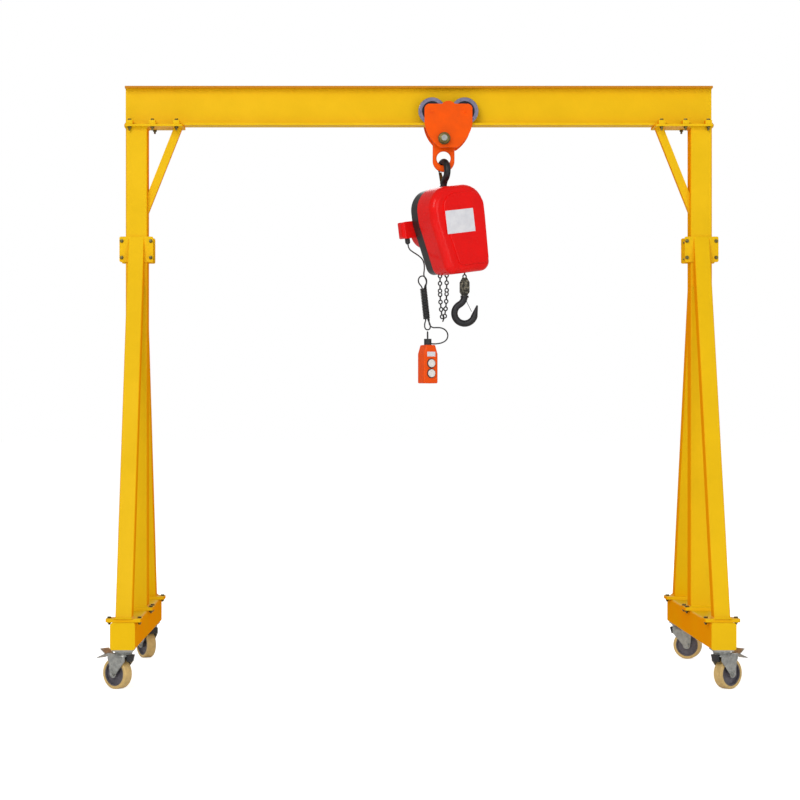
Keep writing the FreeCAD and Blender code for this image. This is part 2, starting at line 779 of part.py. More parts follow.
def make_chain_block(top):
    """The chain block, narrower at both ends, with a bore for the hook's pin."""
    half = block_width / 2
    outline = [
        (-block_neck / 2, 0), (block_neck / 2, 0), (half, -block_shoulder),
        (half, block_heel - block_height), (block_foot / 2, -block_height),
        (-block_foot / 2, -block_height), (-half, block_heel - block_height), (-half, -block_shoulder),
    ]
    shape = front_outline(outline, -block_depth / 2, block_depth / 2)
    shape = round_along(shape, (0, 1, 0), 4)
    bore = rod(load_pin_diameter / 2 + running_gap, load_pin_length + 2,
               Vector(0, 0, -block_height), Vector(0, 0, 1))
    shape = shape.cut(bore)
    shape.translate(top)
    return shape


def make_load_chain(top):
    """The taut stretch of load chain between the hoist and its block."""
    half = chain_width / 2
    length = hoist_point(load_x, load_y, -hoist_height).z - top.z
    return block(top.x - half, top.x + half, top.y - half, top.y + half, top.z, top.z + length + 12)


def make_slack_chain():
    """The outline of the slack chain's loop: two runs that meet at the bottom."""
    top = hoist_point(slack_x, slack_y, -hoist_height)
    half = chain_width / 2
    low = top.z - chain_fall
    runs = []
    for side in (-1, 1):
        corners = [
            (side * chain_spread / 2 - half, top.z + 6), (side * chain_spread / 2 + half, top.z + 6),
            (half, low), (-half, low),
        ]
        runs.append(front_outline(corners, top.y - half, top.y + half))
    shape = runs[0].fuse(runs[1])
    shape.translate(Vector(top.x, 0, 0))
    return shape


def cord_tube(points, diameter):
    """A round cord along straight runs joined by arcs as large as the runs allow."""
    runs = [(points[i + 1] - points[i]).Length for i in range(len(points) - 1)]
    edges = []
    radii = []
    here = points[0]
    for i in range(1, len(points) - 1):
        corner = points[i]
        back = (points[i - 1] - corner).normalize()
        ahead = (points[i + 1] - corner).normalize()
        turn = math.pi - back.getAngle(ahead)
        cut = 0.45 * min(runs[i - 1], runs[i])
        radius = cut / math.tan(turn / 2)
        middle = (back + ahead).normalize()
        reach = radius / math.cos(turn / 2)
        first = corner + back * cut
        last = corner + ahead * cut
        edges.append(Part.LineSegment(here, first).toShape())
        edges.append(Part.Arc(first, corner + middle * (reach - radius), last).toShape())
        radii.append(round(radius, 1))
        here = last
    edges.append(Part.LineSegment(here, points[-1]).toShape())
    spine = Part.Wire(edges)
    start = (points[1] - points[0]).normalize()
    section = Part.Wire(Part.makeCircle(diameter / 2, points[0], start))
    tube = spine.makePipeShell([section], True, False)
    expected = math.pi * diameter ** 2 / 4 * spine.Length
    print("cord radii", radii, "length", round(spine.Length), "volume ratio", round(tube.Volume / expected, 4))
    return tube


# where the free cable runs, from the gland under the terminal box down to the hank
upper_route = [
    hang_point(*point) for point in (
        (-158, 66, -328), (-129, 47, -347), (-108, 20, -369), (-101, -11, -395), (-101, -39, -423),
        (-106, -56, -456),
    )
]
# the last loop: out of the hank, round to the right, and over behind the pendant into its gland
lower_route = [
    hang_point(*point) for point in (
        (-78, -58, -682), (-78, -65, -706), (-62, -69, -722.5), (-38, -71, -721), (-12, -70, -723),
        (10, -69, -737), (19, -67, -762), (10, -63, -786), (-13, -58, -799), (-38, -47, -803),
        (-62, -31, -803), (-78, -13, -797), (-84, -4, -777), (-84.5, -5, -756), (-84.5, -19.9, -741.5),
        (-84.5, -41.1, -741.5), (-84.5, -56, -756.4),
    )
]
hank_top = hang_point(-107, -56, -519)
hank_bottom = hang_point(-89, -56, -685)
pendant_at = hang_point(-84.5, -56, -1004)
pendant_gland_diameter = 38.0
pendant_gland_height = 31.0
hank_fold = 50.0
hank_fold_width = 34.0
hank_eye_height = 66.0
hank_eye_width = 52.0


def make_hank():
    """The outer shape of the wound hank: an eye at the top, the turns, and the folded end."""
    axis = hank_bottom - hank_top
    length = axis.Length
    along = Vector(axis).normalize()
    turns = rod(hank_diameter / 2, length, hank_top, along)
    lean = math.degrees(math.atan2(-axis.x, -axis.z))
    flats = []
    for width, low, high in ((hank_eye_width, -8, hank_eye_height), (hank_fold_width, -length - hank_fold, 8 - length)):
        slab = block(-width / 2, width / 2, -cable_diameter, cable_diameter, low, high)
        slab = round_along(slab, (0, 1, 0), width / 2 - 2)
        slab.rotate(Vector(0, 0, 0), Vector(0, 1, 0), lean)
        slab.translate(hank_top)
        flats.append(slab)
    return turns.fuse(flats)


def place_pendant(shape):
    """Turn a pendant piece with the hoist and hang it under its cable."""
    placed = shape.copy()
    placed.rotate(Vector(0, 0, 0), Vector(0, 0, 1), hoist_yaw)
    placed.translate(pendant_at)
    return placed


def make_pendant_case():
    """The hand control's case, narrower at the top."""
    half = pendant_width / 2
    neck = half - 15
    front = -pendant_depth / 2
    outline = [
        (-half, 0), (half, 0), (half, pendant_height - 46), (neck, pendant_height),
        (-neck, pendant_height), (-half, pendant_height - 46),
    ]
    shape = front_outline(outline, front, -front)
    return shape.makeFillet(7, shape.Edges)


def make_pendant_gland():
    """The ribbed gland where the cable enters the case."""
    return rod(pendant_gland_diameter / 2, pendant_gland_height, Vector(0, 0, pendant_height), Vector(0, 0, 1))


def make_pendant_buttons():
    """The two push buttons on the case's front."""
    face = -pendant_depth / 2
    buttons = []
    for height in (pendant_height * 0.26, pendant_height * 0.52):
        start = Vector(0, face, height)
        button = rod(button_diameter / 2, 9, start, Vector(0, -1, 0))
        rim = [e for e in button.Edges if e.BoundBox.YMax < face - 8.9]
        buttons.append(button.makeFillet(3, rim))
    return Part.makeCompound(buttons)


# ---- write the pieces ----
def write_frame():
    save("girder", make_girder())
    halves = {
        "head_plate": make_head_plate(),
        "column": make_column(),
        "knee_brace": make_knee_brace(),
        "base_beam": make_base_beam(),
    }
    for name, shape in halves.items():
        save(name + "_left", shape)
        save(name + "_right", mirror_x(shape))
    leg = make_front_leg()
    save("front_leg_left", leg)
    save("front_leg_right", mirror_x(leg))
    save("rear_leg_left", mirror_y(leg))
    save("rear_leg_right", mirror_x(mirror_y(leg)))


def write_casters():
    plates = []
    fork = make_fork()
    hub = make_hub()
    tyre = wheel_disc(wheel_diameter / 2, wheel_width, hub_diameter / 2, wheel_round)
    pedal = make_pedal()
    for corner, heading in caster_heading.items():
        end = -1 if corner.startswith("front") else 1
        side = -1 if corner.endswith("left") else 1
        plates.append(place_caster(make_caster_plate(), end, side, 0))
        for name, shape in {"fork": fork, "hub": hub, "tyre": tyre, "pedal": pedal}.items():
            save("caster_" + name + "_" + corner, place_caster(shape, end, side, heading))
    save("caster_plates", Part.makeCompound(plates))


def write_trolley():
    for side, name in ((-1, "front"), (1, "rear")):
        save("trolley_plate_" + name, make_side_plate(side))
        for step, hand in ((-1, "left"), (1, "right")):
            x = trolley_x + step * trolley_wheel_spacing / 2
            save("trolley_wheel_" + name + "_" + hand, make_trolley_wheel(x, side))
    save("trolley_tie_bar", make_tie_bar())
    save("trolley_eye", make_eye())


def write_hoist():
    hook = make_top_hook()
    cover = place_hoist(make_front_cover()).cut(hook)
    save("hoist_cover", cover)
    save("hoist_middle", place_hoist(make_middle_body()).cut(hook))
    save("hoist_motor", place_hoist(make_motor_housing()))
    save("hoist_terminal_box", place_hoist(make_terminal_box()))
    save("hoist_gland", place_hoist(make_gland()))
    save("hoist_top_hook", hook)
    save("slack_chain", make_slack_chain().cut(cover))
    outlet = hoist_point(load_x, load_y, -hoist_height)
    block_top = outlet - Vector(0, 0, block_gap)
    save("load_chain", make_load_chain(block_top).cut(cover))
    save("chain_block", make_chain_block(block_top))
    save("load_hook", make_load_hook(block_top - Vector(0, 0, block_height)))


def write_pendant():
    exit_point = hoist_point(gland_x, gland_y, gland_top - gland_length)
    exit_way = (hoist_point(gland_x, gland_y, gland_top - 2 * gland_length) - exit_point).normalize()
    upper = [exit_point, exit_point + exit_way * 22] + upper_route
    gland_mouth = pendant_at + Vector(0, 0, pendant_height + pendant_gland_height)
    lower = lower_route + [gland_mouth]
    save("pendant_cable", Part.makeCompound([cord_tube(upper, cable_diameter),
                                             cord_tube(lower, cable_diameter)]))
    save("cable_hank", make_hank())
    save("pendant_case", place_pendant(make_pendant_case()))
    save("pendant_gland", place_pendant(make_pendant_gland()))
    save("pendant_buttons", place_pendant(make_pendant_buttons()))


os.makedirs("parts", exist_ok=True)
write_frame()
write_casters()
write_trolley()
write_hoist()
write_pendant()
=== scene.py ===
import json
import math

import bmesh
import bpy
from mathutils import Matrix, Vector


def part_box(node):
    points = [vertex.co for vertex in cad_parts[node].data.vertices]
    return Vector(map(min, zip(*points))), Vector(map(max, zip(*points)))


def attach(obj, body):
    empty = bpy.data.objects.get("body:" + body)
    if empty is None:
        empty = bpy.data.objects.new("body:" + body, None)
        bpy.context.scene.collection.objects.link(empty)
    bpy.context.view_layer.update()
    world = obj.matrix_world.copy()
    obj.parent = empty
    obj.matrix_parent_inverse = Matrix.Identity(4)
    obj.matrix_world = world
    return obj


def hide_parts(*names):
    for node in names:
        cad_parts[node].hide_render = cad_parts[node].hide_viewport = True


# A portable gantry crane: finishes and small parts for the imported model.
# Everything is in metres, +X along the girder, +Y to the back, +Z up.

bl_info = {
    "name": "Portable gantry crane",
    "version": (1, 0, 0),
    "blender": (4, 5, 0),
    "location": "3D View > Sidebar > Gantry",
    "description": "Finishes and small parts for a portable gantry crane with a chain hoist",
    "category": "Object",
}

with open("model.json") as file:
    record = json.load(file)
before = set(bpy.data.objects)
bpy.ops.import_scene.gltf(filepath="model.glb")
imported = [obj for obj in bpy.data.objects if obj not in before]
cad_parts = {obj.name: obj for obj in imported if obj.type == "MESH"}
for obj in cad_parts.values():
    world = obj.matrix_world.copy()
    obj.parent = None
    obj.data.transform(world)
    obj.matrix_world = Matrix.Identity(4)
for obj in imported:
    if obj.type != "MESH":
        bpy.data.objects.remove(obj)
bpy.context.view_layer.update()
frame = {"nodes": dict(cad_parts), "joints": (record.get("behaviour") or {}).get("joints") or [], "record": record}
NODES = frame["nodes"]
MM = 0.001
CORNERS = ("front_left", "front_right", "rear_left", "rear_right")
# the way each wheel trails, in degrees from +X towards +Y
HEADING = {"front_left": 143.0, "front_right": 37.0, "rear_left": 122.0, "rear_right": -20.0}
JOINT = {joint["name"]: joint for joint in frame["joints"]}


def srgb(code):
    """A hex colour as linear red, green, blue and full alpha."""
    parts = [int(code[i:i + 2], 16) / 255 for i in (1, 3, 5)]
    return tuple([c / 12.92 if c <= 0.04045 else ((c + 0.055) / 1.055) ** 2.4 for c in parts] + [1.0])


# ---------------------------------------------------------------- sizes and colours
def length(name, description, default_mm, smallest=0.5, largest=500.0):
    """A length in metres whose default is given in millimetres."""
    return bpy.props.FloatProperty(name=name, description=description, default=default_mm * MM,
                                   min=smallest * MM, max=largest * MM, precision=4, unit="LENGTH")


def colour(name, description, code):
    """A colour whose default is an sRGB hex value."""
    return bpy.props.FloatVectorProperty(name=name, description=description, default=srgb(code)[:3],
                                         size=3, min=0.0, max=1.0, subtype="COLOR")


class GantrySizes(bpy.types.PropertyGroup):
    bolt_size: length("Frame bolt", "Thread diameter of the frame's bolts", 10)
    clamp_bolt_size: length("Clamp bolt", "Thread diameter of the long bolts beside the columns", 9)
    weld_size: length("Weld", "Width of the weld beads at the tube ends", 7)
    chain_wire: length("Chain wire", "Thickness of the chain's links", 7)
    chain_pitch: length("Chain pitch", "Distance from one link to the next", 19)
    cable_diameter: length("Cable", "Diameter of the hand control's cable", 7)
    hank_turns: bpy.props.IntProperty(name="Hank turns", description="Turns wound round the hank",
                                      default=20, min=4, max=24)
    latch_thickness: length("Latch", "Thickness of the hooks' sprung latches", 2)
    plate_width: length("Nameplate width", "Width of the blank plate on the hoist", 168)
    plate_height: length("Nameplate height", "Height of the blank plate on the hoist", 118)


class GantryColours(bpy.types.PropertyGroup):
    yellow: colour("Yellow", "Enamel on the frame", "#F3C20A")
    # painted shade: the warmer orange that faces turned along the girder are mixed towards, so they look darker
    # than the fronts
    side_shade_amber: colour("Amber", "The same enamel where it is sprayed thin", "#FF9608")
    # painted shade: the darker brown-orange given to the top flange's edge
    flange_edge_shade: colour("Flange edge", "The top flange, where the enamel is thinnest", "#C98213")
    orange: colour("Orange", "Enamel on the trolley", "#FC5A02")
    red: colour("Red", "Gloss enamel on the hoist", "#F21412")
    zinc: colour("Zinc", "Plating on the casters and bolts", "#B4B5B0")
    tread: colour("Tread", "Polyurethane on the wheels", "#DDBB77")
    hub: colour("Hub", "Cast hubs of the wheels", "#6C6870")
    rim: colour("Rim", "Turned rims of the trolley's wheels", "#8A87A0")
    black: colour("Black", "Forged and moulded black parts", "#1D1D1E")
    control: colour("Hand control", "Moulded case of the hand control", "#F8560F")


# ---------------------------------------------------------------- materials
def add_node(tree, kind, settings=None, inputs=None):
    """Add one shader node, set its properties, and set or link its inputs."""
    node = tree.nodes.new(kind)
    for name, value in (settings or {}).items():
        setattr(node, name, value)
    for name, value in (inputs or {}).items():
        socket = node.inputs[name]
        if isinstance(value, bpy.types.NodeSocket):
            tree.links.new(value, socket)
        else:
            socket.default_value = value
    return node


def per_mm(size_mm):
    """The scale that gives a pattern features of this size, in millimetres."""
    return 1000.0 / size_mm


def new_finish(name, base, other, cloud_mm, grain_mm, bump_mm, rough, rough_play=0.06, metallic=0.0,
               coat=0.0, spread=(0.35, 0.7), specular=0.5):
    """A finish with patches of two close colours, uneven gloss and a fine grain.

    cloud_mm is the size of the patches, grain_mm of the grain and bump_mm its depth.
    Returns the material, its node tree, its shader and the socket with its colour.
    """
    material = bpy.data.materials.new(name)
    material.use_nodes = True
    tree = material.node_tree
    shader = tree.nodes["Principled BSDF"]
    coords = add_node(tree, "ShaderNodeTexCoord").outputs["Object"]
    cloud = add_node(tree, "ShaderNodeTexNoise", None,
                     {"Vector": coords, "Scale": per_mm(cloud_mm), "Detail": 5.0, "Roughness": 0.6})
    patch = add_node(tree, "ShaderNodeMapRange", None,
                     {"Value": cloud.outputs["Fac"], "From Min": spread[0], "From Max": spread[1]})
    mixed = add_node(tree, "ShaderNodeMixRGB", None,
                     {"Fac": patch.outputs["Result"], "Color1": base, "Color2": other})
    grain = add_node(tree, "ShaderNodeTexNoise", None,
                     {"Vector": coords, "Scale": per_mm(grain_mm), "Detail": 3.0})
    gloss = add_node(tree, "ShaderNodeMapRange", None,
                     {"Value": cloud.outputs["Fac"], "From Min": 0.3, "From Max": 0.7,
                      "To Min": rough - rough_play, "To Max": rough + rough_play})
    bump = add_node(tree, "ShaderNodeBump", None,
                    {"Height": grain.outputs["Fac"], "Distance": bump_mm * MM, "Strength": 1.0})
    tree.links.new(mixed.outputs["Color"], shader.inputs["Base Color"])
    tree.links.new(gloss.outputs["Result"], shader.inputs["Roughness"])
    tree.links.new(bump.outputs["Normal"], shader.inputs["Normal"])
    shader.inputs["Metallic"].default_value = metallic
    shader.inputs["Specular IOR Level"].default_value = specular
    shader.inputs["Coat Weight"].default_value = coat
    shader.inputs["Coat Roughness"].default_value = 0.12
    return material, tree, shader, mixed.outputs["Color"]


def full(colour_value, gain=1.0):
    """A colour property as a shader colour, lighter or darker by gain."""
    return tuple([min(1.0, c * gain) for c in colour_value] + [1.0])


# the heights, in metres, between which the enamel changes to a painted shade, darker brown-orange, on the top
# flange's edge
FLANGE_EDGE = (2.9885, 2.9895)


def make_enamel_yellow(colours):
    """Alkyd enamel sprayed on mild steel: satin, slightly uneven, with orange peel of about 2 mm.

    Faces that look along the girder are mixed towards a warmer orange and given less specular shine: painted
    shade, so the sides look darker than the fronts.
    """
    material, tree, shader, base = new_finish("enamel_yellow_sprayed", full(colours.yellow),
                                              full(colours.yellow, 0.93), 260, 2.4, 0.05, 0.5,
                                              specular=0.1)
    facing = add_node(tree, "ShaderNodeNewGeometry").outputs["Normal"]
    parts = add_node(tree, "ShaderNodeSeparateXYZ", None, {"Vector": facing})
    sideways = add_node(tree, "ShaderNodeMath", {"operation": "ABSOLUTE"}, {0: parts.outputs["X"]})
    # painted shade: the more a face looks along the girder, the more it is mixed towards the warmer orange
    side_shade_mask = add_node(tree, "ShaderNodeMapRange", None,
                    {"Value": sideways.outputs["Value"], "From Min": 0.35, "From Max": 0.95,
                     "To Max": 0.85})
    drift = add_node(tree, "ShaderNodeTexNoise", None,
                     {"Vector": add_node(tree, "ShaderNodeTexCoord").outputs["Object"],
                      "Scale": per_mm(700), "Detail": 2.0})
    uneven = add_node(tree, "ShaderNodeMapRange", None,
                      {"Value": drift.outputs["Fac"], "From Min": 0.35, "From Max": 0.65,
                       "To Min": 0.75, "To Max": 1.0})
    side_shade_amount = add_node(tree, "ShaderNodeMath", {"operation": "MULTIPLY"},
                      {0: side_shade_mask.outputs["Result"], 1: uneven.outputs["Result"]})
    side_shaded = add_node(tree, "ShaderNodeMixRGB", None,
                    {"Fac": side_shade_amount.outputs["Value"], "Color1": base, "Color2": full(colours.side_shade_amber)})
    place = add_node(tree, "ShaderNodeSeparateXYZ", None,
                     {"Vector": add_node(tree, "ShaderNodeTexCoord").outputs["Object"]})
    # painted shade: the top flange's edge turns darker brown-orange
    flange_edge_shade = add_node(tree, "ShaderNodeMapRange", None,
                           {"Value": place.outputs["Z"], "From Min": FLANGE_EDGE[0],
                            "From Max": FLANGE_EDGE[1]})
    flange_shaded = add_node(tree, "ShaderNodeMixRGB", None,
                    {"Fac": flange_edge_shade.outputs["Result"], "Color1": side_shaded.outputs["Color"],
                     "Color2": full(colours.flange_edge_shade)})
    tree.links.new(flange_shaded.outputs["Color"], shader.inputs["Base Color"])
    sheen = add_node(tree, "ShaderNodeMapRange", None,
                     {"Value": sideways.outputs["Value"], "From Min": 0.35, "From Max": 0.95,
                      "To Min": 0.1, "To Max": 0.0})
    tree.links.new(sheen.outputs["Result"], shader.inputs["Specular IOR Level"])
    return material


# the radii, in millimetres, between which a trolley wheel's face turns dark inside its rim
DARK_INSIDE_RADII = (53, 49)


def make_turned_steel(colours):
    """Turned steel, lightly oxidised: a lilac-grey rim with fine rings, and dark inside it."""
    material, tree, shader, base = new_finish("steel_turned", full(colours.rim),
                                              full(colours.rim, 0.5), 22, 0.9, 0.03, 0.34, 0.08,
                                              metallic=0.7)
    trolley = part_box("trolley_plate_front")
    middle = (trolley[0].x + trolley[1].x) / 2
    wheel = JOINT["roll_trolley_wheel_front_right"]["pos_m"]
    place = add_node(tree, "ShaderNodeSeparateXYZ", None,
                     {"Vector": add_node(tree, "ShaderNodeTexCoord").outputs["Object"]})
    along = add_node(tree, "ShaderNodeMath", {"operation": "SUBTRACT"},
                     {0: place.outputs["X"], 1: middle})
    off = add_node(tree, "ShaderNodeMath", {"operation": "ABSOLUTE"}, {0: along.outputs["Value"]})
    across = add_node(tree, "ShaderNodeMath", {"operation": "SUBTRACT"},
                      {0: off.outputs["Value"], 1: wheel[0] - middle})
    up = add_node(tree, "ShaderNodeMath", {"operation": "SUBTRACT"},
                  {0: place.outputs["Z"], 1: wheel[2]})
    arm = add_node(tree, "ShaderNodeCombineXYZ", None,
                   {"X": across.outputs["Value"], "Y": up.outputs["Value"]})
    radius = add_node(tree, "ShaderNodeVectorMath", {"operation": "LENGTH"},
                      {0: arm.outputs["Vector"]})
    inside = add_node(tree, "ShaderNodeMapRange", None,
                      {"Value": radius.outputs["Value"], "From Min": DARK_INSIDE_RADII[0] * MM,
                       "From Max": DARK_INSIDE_RADII[1] * MM})
    # the wheel's face is coloured dark inside the rim
    dark_inside = add_node(tree, "ShaderNodeMixRGB", None,
                      {"Fac": inside.outputs["Result"], "Color1": base, "Color2": srgb("#242329")})
    tree.links.new(dark_inside.outputs["Color"], shader.inputs["Base Color"])
    return material


def make_finishes(colours):
    """Every finish of the crane, by its name in the record's material slots."""
    black = full(colours.black)
    finishes = {
        "yellow_paint": make_enamel_yellow(colours),
        # sprayed enamel on flame-cut plate: glossier, with a little more orange peel
        "orange_paint": new_finish("enamel_orange_sprayed", full(colours.orange),
                                   full(colours.orange, 0.88), 60, 2.0, 0.06, 0.34,
                                   specular=0.1)[0],
        # two-pack gloss on die-cast covers: deep and smooth, with soft broad highlights
        "red_paint": new_finish("enamel_red_die_cast", full(colours.red), full(colours.red, 0.9),
                                90, 1.6, 0.02, 0.27, 0.04, coat=0.12, specular=0.12)[0],
        # satin black on the ribbed die-cast middle
        "black_casting": new_finish("enamel_black_die_cast", black, full(colours.black, 1.7),
                                    50, 1.2, 0.05, 0.42, coat=0.1)[0],
        # drop-forged steel, black oxide: scale marks of about 4 mm and a dull sheen
        "black_forging": new_finish("black_oxide_forged", black, srgb("#303033"), 18, 4.0, 0.25,
                                    0.46, 0.1, metallic=0.35)[0],
        # cast block, oiled: greyer where it is rubbed
        "block_casting": new_finish("cast_iron_oiled", srgb("#24221D"), srgb("#8B8672"), 9, 3.0,
                                    0.3, 0.42, 0.12, metallic=0.5, spread=(0.48, 0.66))[0],
        # hardened chain: dark in its oil, bright where links rub
        "chain_steel": new_finish("chain_steel_oiled", srgb("#232224"), srgb("#8F8D89"), 9, 1.5,
                                  0.06, 0.34, 0.1, metallic=0.75, spread=(0.5, 0.75))[0],
        # zinc plating on pressed steel: cloudy grey with a soft shine
        "zinc_steel": new_finish("zinc_plate_pressed", full(colours.zinc), full(colours.zinc, 0.6),
                                 16, 1.2, 0.04, 0.36, 0.1, metallic=0.55)[0],
        "machined_steel": make_turned_steel(colours),
        # cast wheel centre under thin grey paint
        "wheel_hub": new_finish("cast_hub_painted", full(colours.hub), full(colours.hub, 0.6), 20,
                                2.5, 0.2, 0.5, 0.08, metallic=0.2)[0],
        # cast polyurethane: waxy, a little scuffed
        "polyurethane": new_finish("polyurethane_cast", full(colours.tread),
                                   full(colours.tread, 0.78), 24, 1.4, 0.08, 0.42, 0.08)[0],
        # rubber cable sheath: dull, slightly greyed
        "cable_rubber": new_finish("rubber_sheath_extruded", srgb("#1A1A1B"), srgb("#343536"), 12,
                                   0.9, 0.04, 0.5, 0.06)[0],
        # moulded nylon
        "black_plastic": new_finish("nylon_black_moulded", srgb("#19191A"), srgb("#2B2B2C"), 20,
                                    0.8, 0.03, 0.48, 0.06)[0],
        # moulded ABS: even colour, fine spark-eroded texture
        "orange_plastic": new_finish("abs_orange_moulded", full(colours.control),
                                     full(colours.control, 0.9), 40, 0.9, 0.03, 0.38, 0.05,
                                     specular=0.15)[0],
        "white_plastic": new_finish("abs_white_moulded", srgb("#F2F0EC"), srgb("#DAD7D0"), 12, 0.8,
                                    0.02, 0.34, 0.05)[0],
    }
    return finishes


def make_bolt_yellow():
    """Electro-zinc with yellow passivate: straw to olive."""
    return new_finish("zinc_yellow_passivate", srgb("#7E7443"), srgb("#453D29"), 7, 0.8, 0.03, 0.4,
                      0.1, metallic=0.85)[0]


def make_plate_white():
    """Printed film on a metal plate, left blank: off-white and almost smooth."""
    return new_finish("film_white_blank", srgb("#E9EAEE"), srgb("#D9DBE2"), 40, 0.7, 0.01, 0.35,
                      0.05, coat=0.2)[0]


# each finish's material name, by its key, filled in by the frame operator
FINISH_NAMES = {}


def finish(name):
    """A finish that the frame operator made."""
    return bpy.data.materials[FINISH_NAMES[name]]


# ---------------------------------------------------------------- modelling helpers
def start_fresh():
    """Leave edit mode and deselect everything, so that an operator acts on new work only."""
    if bpy.context.object and bpy.context.object.mode != "OBJECT":
        bpy.ops.object.mode_set(mode="OBJECT")
    bpy.ops.object.select_all(action="DESELECT")


def edit_mesh(piece, kind):
    """Enter edit mode with nothing selected, to select faces or vertices of the mesh returned."""
    bpy.ops.object.mode_set(mode="EDIT")
    bpy.ops.mesh.select_mode(type=kind)
    bpy.ops.mesh.select_all(action="DESELECT")
    return bmesh.from_edit_mesh(piece.data)


def select_faces(piece, test):
    """Select the faces whose centre and normal pass the test, in edit mode."""
    for face in edit_mesh(piece, "FACE").faces:
        face.select_set(bool(test(face.calc_center_median(), face.normal)))
    bmesh.update_edit_mesh(piece.data)


def select_vertices(piece, test):
    """Select the vertices whose place passes the test, in edit mode."""
    for vertex in edit_mesh(piece, "VERT").verts:
        vertex.select_set(bool(test(vertex.co)))
    bmesh.update_edit_mesh(piece.data)


def round_edges(width, steps=2):
    """Bevel every edge of the piece that is being made."""
    bpy.ops.object.mode_set(mode="EDIT")
    bpy.ops.mesh.select_all(action="SELECT")
    bpy.ops.mesh.bevel(offset=width, segments=steps, affect="EDGES")
    bpy.ops.object.mode_set(mode="OBJECT")


def new_round(radius, depth, sides, low=0.0):
    """A cylinder along +Z that starts at height low, with its own ends."""
    start_fresh()
    bpy.ops.mesh.primitive_cylinder_add(vertices=sides, radius=radius, depth=depth,
                                        location=(0, 0, low + depth / 2))
    bpy.ops.object.transform_apply(location=True, rotation=True, scale=True)
    return bpy.context.object


def new_block(x0, x1, y0, y1, z0, z1):
    """A box between two corners."""
    start_fresh()
    bpy.ops.mesh.primitive_cube_add(size=1.0, location=((x0 + x1) / 2, (y0 + y1) / 2, (z0 + z1) / 2))
    piece = bpy.context.object
    piece.scale = (x1 - x0, y1 - y0, z1 - z0)
    bpy.ops.object.transform_apply(location=True, rotation=True, scale=True)
    return piece


def join(pieces):
    """One object from several."""
    start_fresh()
    for piece in pieces:
        piece.select_set(True)
    bpy.context.view_layer.objects.active = pieces[0]
    if len(pieces) > 1:
        bpy.ops.object.join()
    return bpy.context.object


def copies(pattern, places):
    """Copies of a pattern, each with its own mesh moved by a matrix; the pattern is removed."""
    made = []
    for place in places:
        piece = pattern.copy()
        piece.data = pattern.data.copy()
        piece.data.transform(place)
        bpy.context.scene.collection.objects.link(piece)
        made.append(piece)
    bpy.data.objects.remove(pattern)
    return made


def pointing(at, direction, turn=0.0):
    """The matrix that takes +Z at the origin to a direction at a place."""
    look = Vector(direction).normalized().to_track_quat("Z", "Y").to_matrix().to_4x4()
    return Matrix.Translation(Vector(at)) @ look @ Matrix.Rotation(turn, 4, "Z")


def settle(piece, name, material, body, angle=35.0):
    """Name a finished piece, give it its finish and smooth shading, and fix it to a body."""
    start_fresh()
    piece.select_set(True)
    bpy.context.view_layer.objects.active = piece
    piece.name = name
    piece.data.materials.clear()
    piece.data.materials.append(material)
    bpy.ops.object.transform_apply(location=True, rotation=True, scale=True)
    bpy.ops.object.shade_smooth_by_angle(angle=math.radians(angle))
    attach(piece, body)
    return piece


def coat(nodes, material):
    """Give CAD nodes a finish."""
    for name in nodes:
        data = NODES[name].data
        data.materials.clear()
        data.materials.append(material)


def hex_head(size, head=0.62):
    """A chamfered hexagon of a bolt or nut for a thread of this size, on a washer, along +Z."""
    washer = new_round(size * 1.05, size * 0.16, 20)
    round_edges(size * 0.03, 1)
    nut = new_round(size * 0.98, size * head, 6, size * 0.16)
    select_faces(nut, lambda centre, normal: abs(normal.z) > 0.9)
    bpy.ops.mesh.bevel(offset=size * 0.09, segments=2, affect="EDGES")
    bpy.ops.object.mode_set(mode="OBJECT")
    return [washer, nut]


def stud_end(size, length_out, low):
    """The end of a stud with a few thread rings, along +Z."""
    rings = 4
    parts = [new_round(size * 0.5, length_out, 14, low)]
    for i in range(rings):
        foot = low + (i + 0.5) * length_out / (rings + 0.6)
        parts.append(new_round(size * 0.54, size * 0.09, 14, foot))
    return parts


# ---------------------------------------------------------------- the frame
# millimetres: the pads at the tubes' feet, and their bolts from a tube's middle or a leg's front
PAD_THICK = 8
PAD_BOLT_X = 73
COLUMN_BOLT_Y = 50
LEG_BOLT_Y = 57
# the long bolts beside a column, from its middle, in millimetres, and their heights in metres
CLAMP_X = 74
CLAMP_Y = 65
CLAMP_HEIGHTS = (2.123, 2.207)
# where the girder's clips stand from its middle, in metres, and their sizes in millimetres
CLIP_AT = (1.473, 1.357, 1.235)
CLIP_HALF_WIDTH = 17
CLIP_BACK = 88
CLIP_SHOULDER = 51
CLIP_TIP = 38
CLIP_STEP = 11.3
CLIP_TOP = 21.5
CLIP_BOLT_Y = 72
CLIP_ROUND = 1.6
# half the sides that the welds run round, in millimetres; a leg stands at a slant
COLUMN_HALF = 55
LEG_HALF_X = 40
LEG_HALF_Y = 41.5
# ripples along a side of a weld, and how far they fall back and stand out
WELD_RIPPLES = 26
RIPPLE = (-0.1, 0.16)


